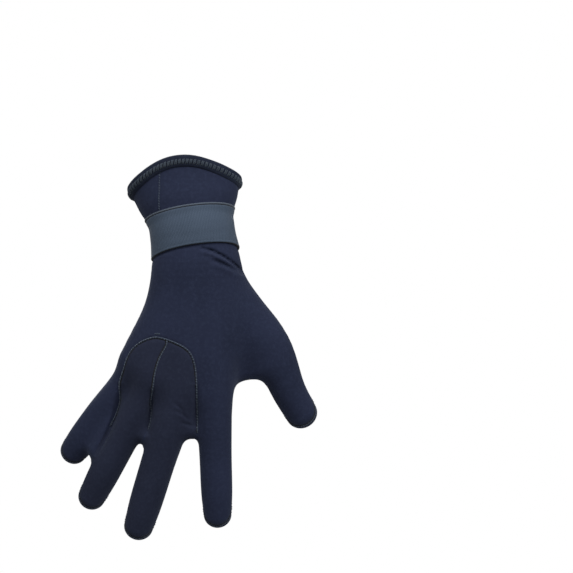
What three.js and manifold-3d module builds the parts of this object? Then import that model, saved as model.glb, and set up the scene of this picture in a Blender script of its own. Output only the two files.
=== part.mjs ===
// Diving glove for the right hand, in the form that it has when worn: fingers down and spread.
// Millimetres. +Z runs up the forearm, the back of the hand faces -Y and the thumb side is +X.
// The origin is the middle of the wrist hollow, at the mid height of the elastic band.

import * as THREE from 'three';
import { mergeVertices } from 'three/addons/utils/BufferGeometryUtils.js';
import Module from 'manifold-3d';

const wasm = await Module();
wasm.setup();

// Neoprene
const WALL = 2.5;
const GAP = 0.3;

// Palm: from the wrist to the knuckle line, across the knuckles, and through the palm
const PALM_LENGTH = 112;
const PALM_BREADTH = 96;
const PALM_THICKNESS = 33;

// Digits: knuckle to tip, and the widest breadth and thickness of a finger and of the thumb
const INDEX_LENGTH = 96.8;
const MIDDLE_LENGTH = 105.5;
const RING_LENGTH = 99;
const LITTLE_LENGTH = 79;
const THUMB_LENGTH = 66;
const FINGER_BREADTH = 24.6;
const FINGER_THICKNESS = 23;
const THUMB_BREADTH = 26;
const THUMB_THICKNESS = 24;

// Wrist and cuff: outside sizes, with the cuff's height measured from the origin
const WRIST_WIDTH = 57.6;
const WRIST_DEPTH = 43;
const CUFF_HEIGHT = 47.3;
const MOUTH_WIDTH = 85.6;
const MOUTH_DEPTH = 60;
const FOREARM_LEAN = 9;
const FOREARM_TILT = 14;

// The mouth is lower at its two sides than on the back and on the palm side, most of all by the thumb
const MOUTH_SIDE_DROP = 11;
const MOUTH_THUMB_DROP = 1.9;
const MOUTH_ROUNDNESS = 2.2;

// Height along the forearm of the seam between the hand and the cuff, hidden under the band
const CUFF_SEAM_HEIGHT = 0;

// Elastic band, and the yarn edging that is laid over the cuff's upper edge
const BAND_HEIGHT = 28;
const BAND_THICKNESS = 1.4;
const BAND_EASE = 0.55;
const EDGING_THICKNESS = 1.2;
const EDGING_DROP = 6;
const EDGING_EASE = 0.3;
const EDGING_ROUND = 0.75;

// Fillets between neighbouring fingers, at their webs, and over the palm
const FINGER_FILLET = 5;
const WEB_FILLET = 8;
const PALM_FILLET = 16;

// Fineness of the faceted skin: cell of the hand, links from one station of a limb to the next, and sides
// and rows of the pieces round the wrist
const CELL = 6.8;
const DIGIT_LINKS = 3;
const FOREARM_LINKS = 2;
const WRIST_SIDES = 32;
const CUFF_ROWS = 5;
const BAND_ROWS = 6;

// Each finger's knuckle lies at shares of the palm's breadth, thickness and length, and its root is where
// its ray leaves the wrist. Its splay turns it to the thumb side, and its curls turn its three bones to
// the palm. Wide, thick and palmWide are shares of a finger's breadth and thickness.
const FINGERS = {
  index: {
    length: INDEX_LENGTH, knuckle: [0.157, 0.0, 1.025], root: [0.15, 0.02, 0.2],
    splay: 1.7, curls: [1, 4, 8], wide: 0.94, thick: 0.96, palmWide: 1.13,
  },
  middle: {
    length: MIDDLE_LENGTH, knuckle: [-0.115, -0.02, 1.07], root: [0.03, 0.02, 0.2],
    splay: -17.3, curls: [3, 6, 9], wide: 0.99, thick: 1.0, palmWide: 1.1,
  },
  ring: {
    length: RING_LENGTH, knuckle: [-0.335, 0.14, 1.005], root: [-0.05, 0.02, 0.2],
    splay: -28.3, curls: [5, 9, 12], wide: 0.93, thick: 0.95, palmWide: 1.08,
  },
  little: {
    length: LITTLE_LENGTH, knuckle: [-0.494, 0.42, 0.935], root: [-0.03, 0.02, 0.2],
    splay: -37.5, curls: [9, 13, 15], wide: 0.93, thick: 0.92, palmWide: 0.95,
  },
};

// Sections of a finger's ray in the palm, from root to knuckle, and its bones beyond the knuckle: how far
// along, the share of its own half breadth, and the share of the palm's or its own half thickness
const RAY_ROWS = [
  { along: 0.0, wide: 0.85, palmDeep: 0.94 },
  { along: 0.55, wide: 1.0, palmDeep: 1.0 },
  { along: 1.0, wide: 1.0, palmDeep: 0.92 },
];
const BONE_ROWS = [
  { share: 0.44, size: 1.0 },
  { share: 0.3, size: 0.96 },
  { share: 0.26, size: 0.86 },
];

// The thumb leaves the wrist on the palm side and stands away from the hand
const THUMB = { knuckle: [0.571, 0.5, 0.722], root: [0.13, 0.3, 0.2] };
const THUMB_RAY_ROWS = [
  { along: 0.0, wide: 0.95, deep: 1.1 },
  { along: 0.5, wide: 1.0, deep: 1.12 },
  { along: 1.0, wide: 1.15, deep: 1.04 },
];
const THUMB_BONE_ROWS = [
  { share: 0.56, size: 0.97, splay: 22.5, curl: 12 },
  { share: 0.46, size: 0.9, splay: 29, curl: 12 },
];

// How far short of the fingertip the last section's middle lies, as a share of the half thickness
const TIP_ROUND = 0.86;

// Pads that fill the palm, from one end to the other, as shares of its breadth, thickness and length
const PADS = {
  thumbBall: { from: [0.14, 0.35, 0.25], to: [0.38, 0.62, 0.64], wide: [0.13, 0.16], deep: [0.5, 0.5] },
  heel: { from: [-0.05, 0.3, 0.3], to: [-0.28, 0.45, 0.84], wide: [0.11, 0.13], deep: [0.45, 0.5] },
  thumbWeb: { from: [0.28, 0.3, 0.55], to: [0.39, 0.42, 0.882], wide: [0.13, 0.15], deep: [0.34, 0.2] },
};

// Webs between neighbouring fingers: how far each reaches down the fingers' first bones, and its half
// breadth and half thickness as shares of a finger's
const WEBS = [
  { pair: ['index', 'middle'], reach: 0.53, wide: 0.24, deep: 0.34 },
  { pair: ['middle', 'ring'], reach: 0.68, wide: 0.24, deep: 0.34 },
  { pair: ['ring', 'little'], reach: 1.45, wide: 0.28, deep: 0.34 },
];

// The palm's core from the knuckles up to the wrist, in shares of the palm's sizes, and the forearm's
// sections from the origin to past the mouth: height as a share of the cuff's, and the flare from the
// wrist's size, 0, to the mouth's, 1
const CORE_ROWS = [
  { place: [-0.145, 0.08, 0.9], wide: 0.375, deep: 0.44 },
  { place: [-0.03, 0.07, 0.62], wide: 0.315, deep: 0.49 },
  { place: [0.012, 0.05, 0.34], wide: 0.283, deep: 0.53 },
  { place: [0.013, 0.02, 0.15], wide: 0.3, deep: 0.6 },
];
const FOREARM_ROWS = [
  { up: 0.0, flare: 0.0 },
  { up: 0.22, flare: 0.03 },
  { up: 0.42, flare: 0.24 },
  { up: 0.7, flare: 0.62 },
  { up: 1.0, flare: 1.0 },
  { up: 1.5, flare: 1.5 },
];

// Soft creases under the band on the thumb side of the back, as shares of the palm's breadth and length,
// with their depths and half widths as shares of the wall
const CREASES = [
  { from: [0.085, 0.108], to: [0.375, 0.262], depth: 0.4, width: 1.4 },
  { from: [0.186, 0.185], to: [0.346, 0.255], depth: 0.32, width: 1.2 },
];

// Seams on the back, from the arch down to the webs between the fingers: the leg by the little finger,
// the centre seam, and the leg by the index finger, as shares of the palm's breadth and length
const SEAM_ROWS = [
  { little: [-0.235, 0.657], centre: [-0.18, 0.672], index: [-0.14, 0.689] },
  { little: [-0.33, 0.677], centre: [-0.182, 0.705], index: [-0.06, 0.72] },
  { little: [-0.41, 0.715], centre: [-0.2, 0.735], index: [-0.01, 0.757] },
  { little: [-0.465, 0.77], centre: [-0.235, 0.79], index: [0.018, 0.81] },
  { little: [-0.505, 0.865], centre: [-0.268, 0.88], index: [0.032, 0.88] },
  { little: [-0.543, 0.96], centre: [-0.285, 0.97], index: [0.036, 0.97] },
  { little: [-0.543, 1.06], centre: [-0.307, 1.06], index: [0.036, 1.07] },
  { little: [-0.575, 1.16], centre: [-0.31, 1.17], index: [0.036, 1.18] },
  { little: [-0.62, 1.24], centre: [-0.33, 1.25], index: [0.036, 1.27] },
];

// How far a panel's block stands out past the sides and the tip of its finger
const SEAM_MARGIN = 1.5;

const degrees = THREE.MathUtils.degToRad;
const vector = (x, y, z) => new THREE.Vector3(x, y, z);

// Place in the palm, from shares of its breadth, thickness and length
function palmPoint(across, deep, down) {
  return vector(across * PALM_BREADTH, deep * PALM_THICKNESS, -down * PALM_LENGTH);
}

// Axes of the forearm: across, deep and up
const FOREARM = (() => {
  const turn = new THREE.Matrix4().makeRotationY(-degrees(FOREARM_LEAN));
  turn.multiply(new THREE.Matrix4().makeRotationX(-degrees(FOREARM_TILT)));
  const axes = [vector(), vector(), vector()];
  turn.extractBasis(...axes);
  return { across: axes[0], deep: axes[1], up: axes[2] };
})();

function forearmPoint(across, deep, up) {
  return vector()
    .addScaledVector(FOREARM.across, across)
    .addScaledVector(FOREARM.deep, deep)
    .addScaledVector(FOREARM.up, up);
}

function forearmHeight(x, y, z) {
  return x * FOREARM.up.x + y * FOREARM.up.y + z * FOREARM.up.z;
}

// Stations of a digit beyond its knuckle: each bone is laid on from the one before it, and the last
// station stops short of the tip by the tip's own roundness
function boneStations(start, length, bones, halfWide, halfThick) {
  const place = start.clone();
  return bones.map((bone, index) => {
    const short = index === bones.length - 1 ? TIP_ROUND * halfThick : 0;
    const run = bone.share * length - short;
    const flat = run * Math.cos(degrees(bone.curl));
    const splay = degrees(bone.splay);
    place.add(vector(flat * Math.sin(splay), run * Math.sin(degrees(bone.curl)), -flat * Math.cos(splay)));
    return { at: place.clone(), wide: halfWide * bone.size, deep: halfThick * bone.size };
  });
}

function fingerStations(finger) {
  const halfWide = finger.wide * FINGER_BREADTH / 2;
  const halfThick = finger.thick * FINGER_THICKNESS / 2;
  const root = palmPoint(...finger.root);
  const knuckle = palmPoint(...finger.knuckle);
  const ray = RAY_ROWS.map((row, index) => ({
    at: root.clone().lerp(knuckle, row.along),
    wide: halfWide * row.wide * (index > 0 ? finger.palmWide : 1),
    deep: row.palmDeep * PALM_THICKNESS / 2,
  }));
  const bones = BONE_ROWS.map((row, index) => ({ ...row, splay: finger.splay, curl: finger.curls[index] }));
  return [...ray, ...boneStations(knuckle, finger.length, bones, halfWide, halfThick)];
}

function thumbStations() {
  const halfWide = THUMB_BREADTH / 2;
  const halfThick = THUMB_THICKNESS / 2;
  const root = palmPoint(...THUMB.root);
  const knuckle = palmPoint(...THUMB.knuckle);
  const ray = THUMB_RAY_ROWS.map((row) => ({
    at: root.clone().lerp(knuckle, row.along),
    wide: row.wide * halfWide,
    deep: row.deep * halfThick,
  }));
  return [...ray, ...boneStations(knuckle, THUMB_LENGTH, THUMB_BONE_ROWS, halfWide, halfThick)];
}

function padStations(pad) {
  return [pad.from, pad.to].map((place, end) => ({
    at: palmPoint(...place),
    wide: pad.wide[end] * PALM_BREADTH,
    deep: pad.deep[end] * PALM_THICKNESS,
  }));
}

function webStations(web) {
  const sides = web.pair.map((name) => fingerStations(FINGERS[name]));
  const ends = [0, web.reach].map((reach) => {
    const places = sides.map((stations) => {
      const [knuckle, joint] = stations.slice(RAY_ROWS.length - 1);
      return knuckle.at.clone().lerp(joint.at, reach);
    });
    return places[0].lerp(places[1], 0.5);
  });
  return ends.map((at) => ({ at, wide: web.wide * FINGER_BREADTH, deep: web.deep * FINGER_THICKNESS }));
}

function forearmStations() {
  const core = CORE_ROWS.map((row) => ({
    at: palmPoint(...row.place),
    wide: row.wide * PALM_BREADTH,
    deep: row.deep * PALM_THICKNESS,
  }));
  const forearm = FOREARM_ROWS.map((row) => ({
    at: forearmPoint(0, 0, row.up * CUFF_HEIGHT),
    wide: THREE.MathUtils.lerp(WRIST_WIDTH, MOUTH_WIDTH, row.flare) / 2,
    deep: THREE.MathUtils.lerp(WRIST_DEPTH, MOUTH_DEPTH, row.flare) / 2,
  }));
  return [...core, ...forearm];
}

// A limb is a smooth chain through its stations, cut into short straight links
function makeLimb(stations, linksPerBone) {
  const curve = new THREE.CatmullRomCurve3(stations.map((station) => station.at), false, 'centripetal');
  const count = (stations.length - 1) * linksPerBone;
  const samples = [];
  for (let i = 0; i <= count; i++) {
    const t = i / count;
    const bone = Math.min(Math.floor(t * (stations.length - 1)), stations.length - 2);
    const share = t * (stations.length - 1) - bone;
    samples.push({
      at: curve.getPoint(t),
      wide: THREE.MathUtils.lerp(stations[bone].wide, stations[bone + 1].wide, share),
      deep: THREE.MathUtils.lerp(stations[bone].deep, stations[bone + 1].deep, share),
    });
  }
  const links = [];
  for (let i = 0; i < count; i++) {
    const [a, b] = [samples[i], samples[i + 1]];
    const along = b.at.clone().sub(a.at);
    const length = along.length();
    along.divideScalar(length);
    const deep = vector(0, 1, 0).addScaledVector(along, -along.y).normalize();
    const across = along.clone().cross(deep);
    links.push({ a, b, along, deep, across, length });
  }
  return links;
}

// Distance from a point to a link, whose section is an ellipse and whose ends are round
function linkDistance(link, x, y, z) {
  const { a, b, along, deep, across, length } = link;
  const px = x - a.at.x;
  const py = y - a.at.y;
  const pz = z - a.at.z;
  const run = px * along.x + py * along.y + pz * along.z;
  const t = Math.min(Math.max(run / length, 0), 1);
  const wide = a.wide + (b.wide - a.wide) * t;
  const thick = a.deep + (b.deep - a.deep) * t;
  const cap = Math.min(wide, thick);
  const u = px * across.x + py * across.y + pz * across.z;
  const v = px * deep.x + py * deep.y + pz * deep.z;
  const w = run - t * length;
  const size = Math.hypot(u / wide, v / thick, w / cap);
  const slope = Math.hypot(u / wide ** 2, v / thick ** 2, w / cap ** 2);
  return slope < 1e-9 ? -cap : size * (size - 1) / slope;
}

function limbDistance(limb, x, y, z) {
  let nearest = Infinity;
  for (const link of limb) {
    nearest = Math.min(nearest, linkDistance(link, x, y, z));
  }
  return nearest;
}

// Joins two distances with a fillet
function blend(a, b, fillet) {
  const overlap = Math.max(fillet - Math.abs(a - b), 0) / fillet;
  return Math.min(a, b) - overlap * overlap * fillet / 4;
}

const fingerLimbs = Object.values(FINGERS).map((finger) => makeLimb(fingerStations(finger), DIGIT_LINKS));
const thumbLimb = makeLimb(thumbStations(), DIGIT_LINKS);
const webLimbs = WEBS.map((web) => makeLimb(webStations(web), 1));
const padLimbs = Object.values(PADS).map((pad) => makeLimb(padStations(pad), 1));
const forearmLimb = makeLimb(forearmStations(), FOREARM_LINKS);

function creaseDepth(x, y, z) {
  let depth = 0;
  for (const crease of CREASES) {
    const ax = crease.from[0] * PALM_BREADTH;
    const az = -crease.from[1] * PALM_LENGTH;
    const bx = crease.to[0] * PALM_BREADTH;
    const bz = -crease.to[1] * PALM_LENGTH;
    const length = Math.hypot(bx - ax, bz - az);
    const run = ((x - ax) * (bx - ax) + (z - az) * (bz - az)) / length ** 2;
    const side = ((x - ax) * (bz - az) - (z - az) * (bx - ax)) / length;
    const fade = Math.max(1 - (2 * run - 1) ** 2, 0) * (y < 0 ? 1 : 0);
    depth += WALL * crease.depth * fade * Math.exp(-((side / (WALL * crease.width)) ** 2));
  }
  return depth;
}

// Distance from the outside of the glove: less than 0 inside it
function skin(x, y, z) {
  let hand = Infinity;
  for (const limb of fingerLimbs) {
    hand = blend(hand, limbDistance(limb, x, y, z), FINGER_FILLET);
  }
  for (const limb of webLimbs) {
    hand = blend(hand, limbDistance(limb, x, y, z), WEB_FILLET);
  }
  let palm = limbDistance(thumbLimb, x, y, z);
  for (const limb of padLimbs) {
    palm = blend(palm, limbDistance(limb, x, y, z), PALM_FILLET);
  }
  const digits = blend(hand, palm, PALM_FILLET);
  return blend(digits, limbDistance(forearmLimb, x, y, z), PALM_FILLET) + creaseDepth(x, y, z);
}

// Edges and faces of a cell, whose eight corners are numbered by the bits 1, 2 and 4 for x, y and z
const CELL_EDGES = [];
for (let corner = 0; corner < 8; corner++) {
  for (const bit of [1, 2, 4]) {
    if (!(corner & bit)) {
      CELL_EDGES.push([corner, corner | bit]);
    }
  }
}
const edgeBetween = (a, b) => CELL_EDGES.findIndex((edge) => edge.includes(a) && edge.includes(b));
const CELL_FACES = [[1, 2, 4], [2, 4, 1], [4, 1, 2]].flatMap(([fixed, g, h]) => [0, fixed].map((base) => {
  const corners = [base, base | g, base | g | h, base | h];
  return corners.map((corner, i) => ({ corner, edge: edgeBetween(corner, corners[(i + 1) % 4]) }));
}));

// Closed skin of a field at a level: a vertex for each sheet that passes through a cell, a quad for each
// grid edge that crosses the level, and every vertex then moved onto the level
function meshSkin(field, level, low, high, cell) {
  const counts = [0, 1, 2].map((axis) => Math.ceil((high[axis] - low[axis]) / cell) + 1);
  const steps = [1, counts[0], counts[0] * counts[1]];
  const values = new Float64Array(counts[0] * counts[1] * counts[2]);
  let node = 0;
  for (let k = 0; k < counts[2]; k++) {
    for (let j = 0; j < counts[1]; j++) {
      for (let i = 0; i < counts[0]; i++) {
        values[node] = field(low[0] + i * cell, low[1] + j * cell, low[2] + k * cell) - level;
        node += 1;
      }
    }
  }
  const cornerSteps = [0, 1, 2, 3, 4, 5, 6, 7].map((corner) => (
    steps.reduce((sum, step, axis) => sum + (corner & (1 << axis) ? step : 0), 0)
  ));
  const vertices = [];
  const sheets = new Map();
  for (let k = 0; k < counts[2] - 1; k++) {
    for (let j = 0; j < counts[1] - 1; j++) {
      for (let i = 0; i < counts[0] - 1; i++) {
        const first = i + j * steps[1] + k * steps[2];
        const inside = cornerSteps.map((step) => values[first + step] < 0);
        if (inside.every((state) => state === inside[0])) {
          continue;
        }
        const group = CELL_EDGES.map((edge, index) => (inside[edge[0]] === inside[edge[1]] ? -1 : index));
        const join = (a, b) => {
          const [from, to] = [group[a], group[b]];
          group.forEach((value, index) => {
            group[index] = value === from ? to : value;
          });
        };
        for (const face of CELL_FACES) {
          const crossed = face.filter((side) => group[side.edge] >= 0).map((side) => side.edge);
          if (crossed.length === 2) {
            join(crossed[0], crossed[1]);
          }
          if (crossed.length === 4) {
            face.forEach((side, n) => {
              if (inside[side.corner]) {
                join(side.edge, face[(n + 3) % 4].edge);
              }
            });
          }
        }
        const owners = new Int32Array(12).fill(-1);
        for (const root of new Set(group.filter((value) => value >= 0))) {
          const place = [0, 0, 0];
          let count = 0;
          group.forEach((value, index) => {
            if (value !== root) {
              return;
            }
            const [a, b] = CELL_EDGES[index];
            const [va, vb] = [values[first + cornerSteps[a]], values[first + cornerSteps[b]]];
            const t = va / (va - vb);
            [1, 2, 4].forEach((bit, axis) => {
              const from = a & bit ? 1 : 0;
              const to = b & bit ? 1 : 0;
              place[axis] += from + (to - from) * t;
            });
            count += 1;
            owners[index] = vertices.length / 3;
          });
          [i, j, k].forEach((index, axis) => vertices.push(low[axis] + (index + place[axis] / count) * cell));
        }
        sheets.set(first, owners);
      }
    }
  }
  settle(field, level, vertices, cell);
  const triangles = [];
  const others = [[1, 2], [2, 0], [0, 1]];
  for (let k = 1; k < counts[2] - 1; k++) {
    for (let j = 1; j < counts[1] - 1; j++) {
      for (let i = 1; i < counts[0] - 1; i++) {
        const at = i + j * steps[1] + k * steps[2];
        for (let axis = 0; axis < 3; axis++) {
          const starts = values[at] < 0;
          if (starts === values[at + steps[axis]] < 0) {
            continue;
          }
          const [b, c] = others[axis];
          const ring = [[1, 1], [0, 1], [0, 0], [1, 0]].map(([ob, oc]) => {
            const corner = (ob << b) | (oc << c);
            const owners = sheets.get(at - ob * steps[b] - oc * steps[c]);
            return owners[edgeBetween(corner, corner | (1 << axis))];
          });
          pushQuad(triangles, vertices, starts ? ring : ring.reverse());
        }
      }
    }
  }
  return toSolid(vertices, triangles);
}

// Step for the slope of a field, and the least slope's square that a vertex is moved along
const SLOPE_STEP = 0.05;
const FLATTEST_SLOPE = 0.2;

function gradient(field, x, y, z) {
  const step = SLOPE_STEP;
  const here = field(x, y, z);
  return {
    here,
    slope: vector(field(x + step, y, z) - here, field(x, y + step, z) - here, field(x, y, z + step) - here)
      .divideScalar(step),
  };
}

// Moves each vertex down or up the slope of the field, onto its level
function settle(field, level, vertices, cell) {
  for (let i = 0; i < vertices.length; i += 3) {
    for (let turn = 0; turn < 3; turn++) {
      const { here, slope } = gradient(field, vertices[i], vertices[i + 1], vertices[i + 2]);
      const wanted = (level - here) / Math.max(slope.lengthSq(), FLATTEST_SLOPE);
      const move = THREE.MathUtils.clamp(wanted, -cell / 2, cell / 2);
      vertices[i] += move * slope.x;
      vertices[i + 1] += move * slope.y;
      vertices[i + 2] += move * slope.z;
    }
  }
}

// Two triangles for a quad, parted along its shorter diagonal
function pushQuad(triangles, vertices, ring) {
  const offset = (a, b, axis) => vertices[3 * a + axis] - vertices[3 * b + axis];
  const span = (a, b) => Math.hypot(offset(a, b, 0), offset(a, b, 1), offset(a, b, 2));
  const [a, b, c, d] = ring;
  if (span(a, c) <= span(b, d)) {
    triangles.push(a, b, c, a, c, d);
  } else {
    triangles.push(b, c, d, b, d, a);
  }
}

function toSolid(vertices, triangles) {
  const mesh = new wasm.Mesh({
    numProp: 3,
    vertProperties: new Float32Array(vertices),
    triVerts: new Uint32Array(triangles),
  });
  return new wasm.Manifold(mesh);
}

function geometryToSolid(geometry) {
  const bare = geometry.clone();
  bare.deleteAttribute('normal');
  bare.deleteAttribute('uv');
  const merged = mergeVertices(bare, 1e-5);
  return toSolid(merged.attributes.position.array, merged.index.array);
}

function solidToGeometry(solid) {
  const mesh = solid.getMesh();
  const geometry = new THREE.BufferGeometry();
  geometry.setAttribute('position', new THREE.BufferAttribute(new Float32Array(mesh.vertProperties), 3));
  geometry.setIndex(new THREE.BufferAttribute(new Uint32Array(mesh.triVerts), 1));
  geometry.computeVertexNormals();
  return geometry;
}

// Closed solid from rings of points: every ring closes on itself, and either the last ring meets the
// first one or both ends are capped
function ringSolid(rings, capped) {
  const vertices = rings.flatMap((ring) => ring.flatMap((point) => [point.x, point.y, point.z]));
  const triangles = [];
  const sides = rings[0].length;
  const spans = capped ? rings.length - 1 : rings.length;
  for (let r = 0; r < spans; r++) {
    const next = (r + 1) % rings.length;
    for (let s = 0; s < sides; s++) {
      const t = (s + 1) % sides;
      pushQuad(triangles, vertices, [r * sides + s, next * sides + s, next * sides + t, r * sides + t]);
    }
  }
  if (capped) {
    const last = (rings.length - 1) * sides;
    for (let s = 1; s < sides - 1; s++) {
      triangles.push(0, s, s + 1);
      triangles.push(last, last + s + 1, last + s);
    }
  }
  return toSolid(vertices, triangles);
}

// Radius of the outside of the glove round the forearm's axis, by halving the span that holds it
const HALVINGS = 30;

function skinRadius(angle, up) {
  const way = forearmPoint(Math.cos(angle), Math.sin(angle), 0);
  const centre = forearmPoint(0, 0, up);
  let near = 0;
  let far = MOUTH_WIDTH;
  for (let turn = 0; turn < HALVINGS; turn++) {
    const radius = (near + far) / 2;
    const point = centre.clone().addScaledVector(way, radius);
    if (skin(point.x, point.y, point.z) < 0) {
      near = radius;
    } else {
      far = radius;
    }
  }
  return near;
}

// Rings round the forearm, one for each row of the section: a height and a distance out from the skin
function forearmSolid(rowsAt) {
  const rings = [];
  const chord = 1 / Math.cos(Math.PI / WRIST_SIDES);
  for (let s = 0; s < WRIST_SIDES; s++) {
    const angle = 2 * Math.PI * s / WRIST_SIDES;
    rings.push(rowsAt(angle).map(({ up, out, over }) => {
      const radius = (skinRadius(angle, up) + out) * (over ? chord : 1);
      return forearmPoint(radius * Math.cos(angle), radius * Math.sin(angle), up);
    }));
  }
  return ringSolid(rings, false);
}

function mouthHeight(angle) {
  const side = Math.cos(angle);
  return CUFF_HEIGHT - MOUTH_SIDE_DROP * Math.abs(side) ** MOUTH_ROUNDNESS - MOUTH_THUMB_DROP * side;
}

function makeCuff() {
  return forearmSolid((angle) => {
    const bottom = CUFF_SEAM_HEIGHT + GAP / 2;
    const top = mouthHeight(angle);
    const rows = [];
    for (let i = 0; i <= CUFF_ROWS; i++) {
      rows.push({ up: THREE.MathUtils.lerp(bottom, top, i / CUFF_ROWS), out: 0 });
    }
    for (let i = CUFF_ROWS; i >= 0; i--) {
      rows.push({ up: THREE.MathUtils.lerp(bottom, top, i / CUFF_ROWS), out: -WALL });
    }
    return rows;
  });
}

function makeBand() {
  const rows = [];
  for (let i = 0; i <= BAND_ROWS; i++) {
    rows.push({ up: BAND_HEIGHT * (i / BAND_ROWS - 0.5), out: GAP + BAND_EASE + BAND_THICKNESS, over: true });
  }
  for (let i = BAND_ROWS; i >= 0; i--) {
    rows.push({ up: BAND_HEIGHT * (i / BAND_ROWS - 0.5), out: GAP + BAND_EASE, over: true });
  }
  return forearmSolid(() => rows);
}

// The edging is laid over the cuff's upper edge like an upturned trough
function makeEdging() {
  const inner = GAP + EDGING_EASE;
  const outer = inner + EDGING_THICKNESS;
  return forearmSolid((angle) => {
    const top = mouthHeight(angle);
    return [
      { up: top - EDGING_DROP, out: outer },
      { up: top, out: outer },
      { up: top + EDGING_ROUND * outer, out: (1 - EDGING_ROUND) * outer },
      { up: top + outer, out: -WALL / 2 },
      { up: top + EDGING_ROUND * outer, out: -WALL - (1 - EDGING_ROUND) * outer },
      { up: top, out: -WALL - outer },
      { up: top - EDGING_DROP, out: -WALL - outer },
      { up: top - EDGING_DROP, out: -WALL - inner },
      { up: top + GAP, out: -WALL - inner },
      { up: top + GAP, out: inner },
      { up: top - EDGING_DROP, out: inner },
    ];
  });
}

// Block that covers the forearm above a height
function forearmBlock(bottom) {
  const size = 3 * MOUTH_WIDTH;
  const block = new THREE.BoxGeometry(size, size, size);
  block.translate(0, 0, bottom + size / 2);
  block.applyMatrix4(new THREE.Matrix4().makeBasis(FOREARM.across, FOREARM.deep, FOREARM.up));
  return geometryToSolid(block);
}

// Low and high corners of the box that holds some limbs, with room for two cells round them
function boxRound(limbs) {
  const box = new THREE.Box3();
  for (const { a, b } of limbs.flat()) {
    for (const end of [a, b]) {
      const reach = Math.max(end.wide, end.deep) + 2 * CELL;
      box.expandByPoint(end.at.clone().addScalar(reach));
      box.expandByPoint(end.at.clone().addScalar(-reach));
    }
  }
  return [box.min.toArray(), box.max.toArray()];
}

// The hand's skin and its hollow end a little above the cuff's seam, and are then cut off at the seam
function makeHand() {
  const top = CUFF_SEAM_HEIGHT + 2 * CELL;
  const stump = (x, y, z) => Math.max(skin(x, y, z), forearmHeight(x, y, z) - top);
  const [low, high] = boxRound([...fingerLimbs, thumbLimb, ...padLimbs]);
  high[2] = Math.max(high[2], top + WRIST_DEPTH / 2);
  const outside = meshSkin(stump, 0, low, high, CELL);
  const hollow = meshSkin(stump, -WALL, low, high, CELL);
  return outside.subtract(hollow).subtract(forearmBlock(CUFF_SEAM_HEIGHT - GAP / 2));
}

// Solid that holds one finger's panel of the back: between two seams over the palm, then the back half
// of the finger down to its tip, all of it grown by a margin
function panelBlock(name, leftSeam, rightSeam, grow) {
  const stations = fingerStations(FINGERS[name]);
  const splay = degrees(FINGERS[name].splay);
  const way = { x: Math.sin(splay), z: -Math.cos(splay) };
  const knuckle = stations[RAY_ROWS.length - 1].at;
  const rows = SEAM_ROWS.map((row) => {
    const [left, right] = [row[leftSeam], row[rightSeam]].map(([across, down]) => palmPoint(across, 0, down));
    const share = THREE.MathUtils.clamp((left.z + right.z) / (2 * knuckle.z), 0, 1);
    return { left, right, depth: share * knuckle.y };
  });
  const bones = stations.slice(RAY_ROWS.length);
  for (const bone of bones) {
    rows.push(fingerRow(bone.at, bone.wide + SEAM_MARGIN, way, 0));
  }
  const tip = bones[bones.length - 1];
  rows.push(fingerRow(tip.at, tip.wide + SEAM_MARGIN, way, tip.wide + SEAM_MARGIN));
  const outline = [...rows.map((row) => row.left), ...rows.map((row) => row.right).reverse()];
  const moved = outline.map((point, i) => {
    const before = outline[(i + outline.length - 1) % outline.length];
    const after = outline[(i + 1) % outline.length];
    const along = after.clone().sub(before).normalize();
    return point.clone().add(vector(along.z, 0, -along.x).multiplyScalar(grow));
  });
  const front = 2 * PALM_THICKNESS;
  const rings = rows.map((row, i) => {
    const [left, right] = [moved[i], moved[outline.length - 1 - i]];
    const deep = row.depth + grow;
    return [
      vector(left.x, -front, left.z),
      vector(right.x, -front, right.z),
      vector(right.x, deep, right.z),
      vector(left.x, deep, left.z),
    ];
  });
  return ringSolid(rings, true);
}

// Row of a panel's block across its finger, some way further along the finger than the centre
function fingerRow(centre, half, way, further) {
  const x = centre.x + further * way.x;
  const z = centre.z + further * way.z;
  return {
    left: vector(x + half * way.z, 0, z - half * way.x),
    right: vector(x - half * way.z, 0, z + half * way.x),
    depth: centre.y,
  };
}

const neoprene = new THREE.MeshStandardMaterial({ color: 0x272b3c, roughness: 0.85, metalness: 0 });
const panelNeoprene = new THREE.MeshStandardMaterial({ color: 0x2a2d3d, roughness: 0.85, metalness: 0 });
const elastic = new THREE.MeshStandardMaterial({ color: 0x434f5f, roughness: 0.8, metalness: 0 });
const yarn = new THREE.MeshStandardMaterial({ color: 0x20232e, roughness: 0.9, metalness: 0 });

const glove = new THREE.Group();

function addPiece(name, solid, material) {
  const mesh = new THREE.Mesh(solidToGeometry(solid), material);
  mesh.name = name;
  glove.add(mesh);
}

// The two back panels are cut out of the whole hand, each between its left and right seams
const hand = makeHand();
const PANELS = [['middle', 'centre', 'index'], ['ring', 'little', 'centre']];
const shell = PANELS.reduce((rest, panel) => rest.subtract(panelBlock(...panel, GAP / 2)), hand);
addPiece('hand_shell', shell, neoprene);
for (const panel of PANELS) {
  addPiece(`${panel[0]}_panel`, hand.intersect(panelBlock(...panel, -GAP / 2)), panelNeoprene);
}
addPiece('cuff', makeCuff(), neoprene);
addPiece('wrist_band', makeBand(), elastic);
addPiece('mouth_edging', makeEdging(), yarn);

export default glove;
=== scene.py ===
"""Diving glove for the right hand: back of the hand to the camera, fingers down and spread.

Numbers are in millimetres up to the point where a mesh is made, and the meshes are in metres.
+Z runs up the forearm, the back of the hand faces -Y and the thumb side is +X.
"""
import math

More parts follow.
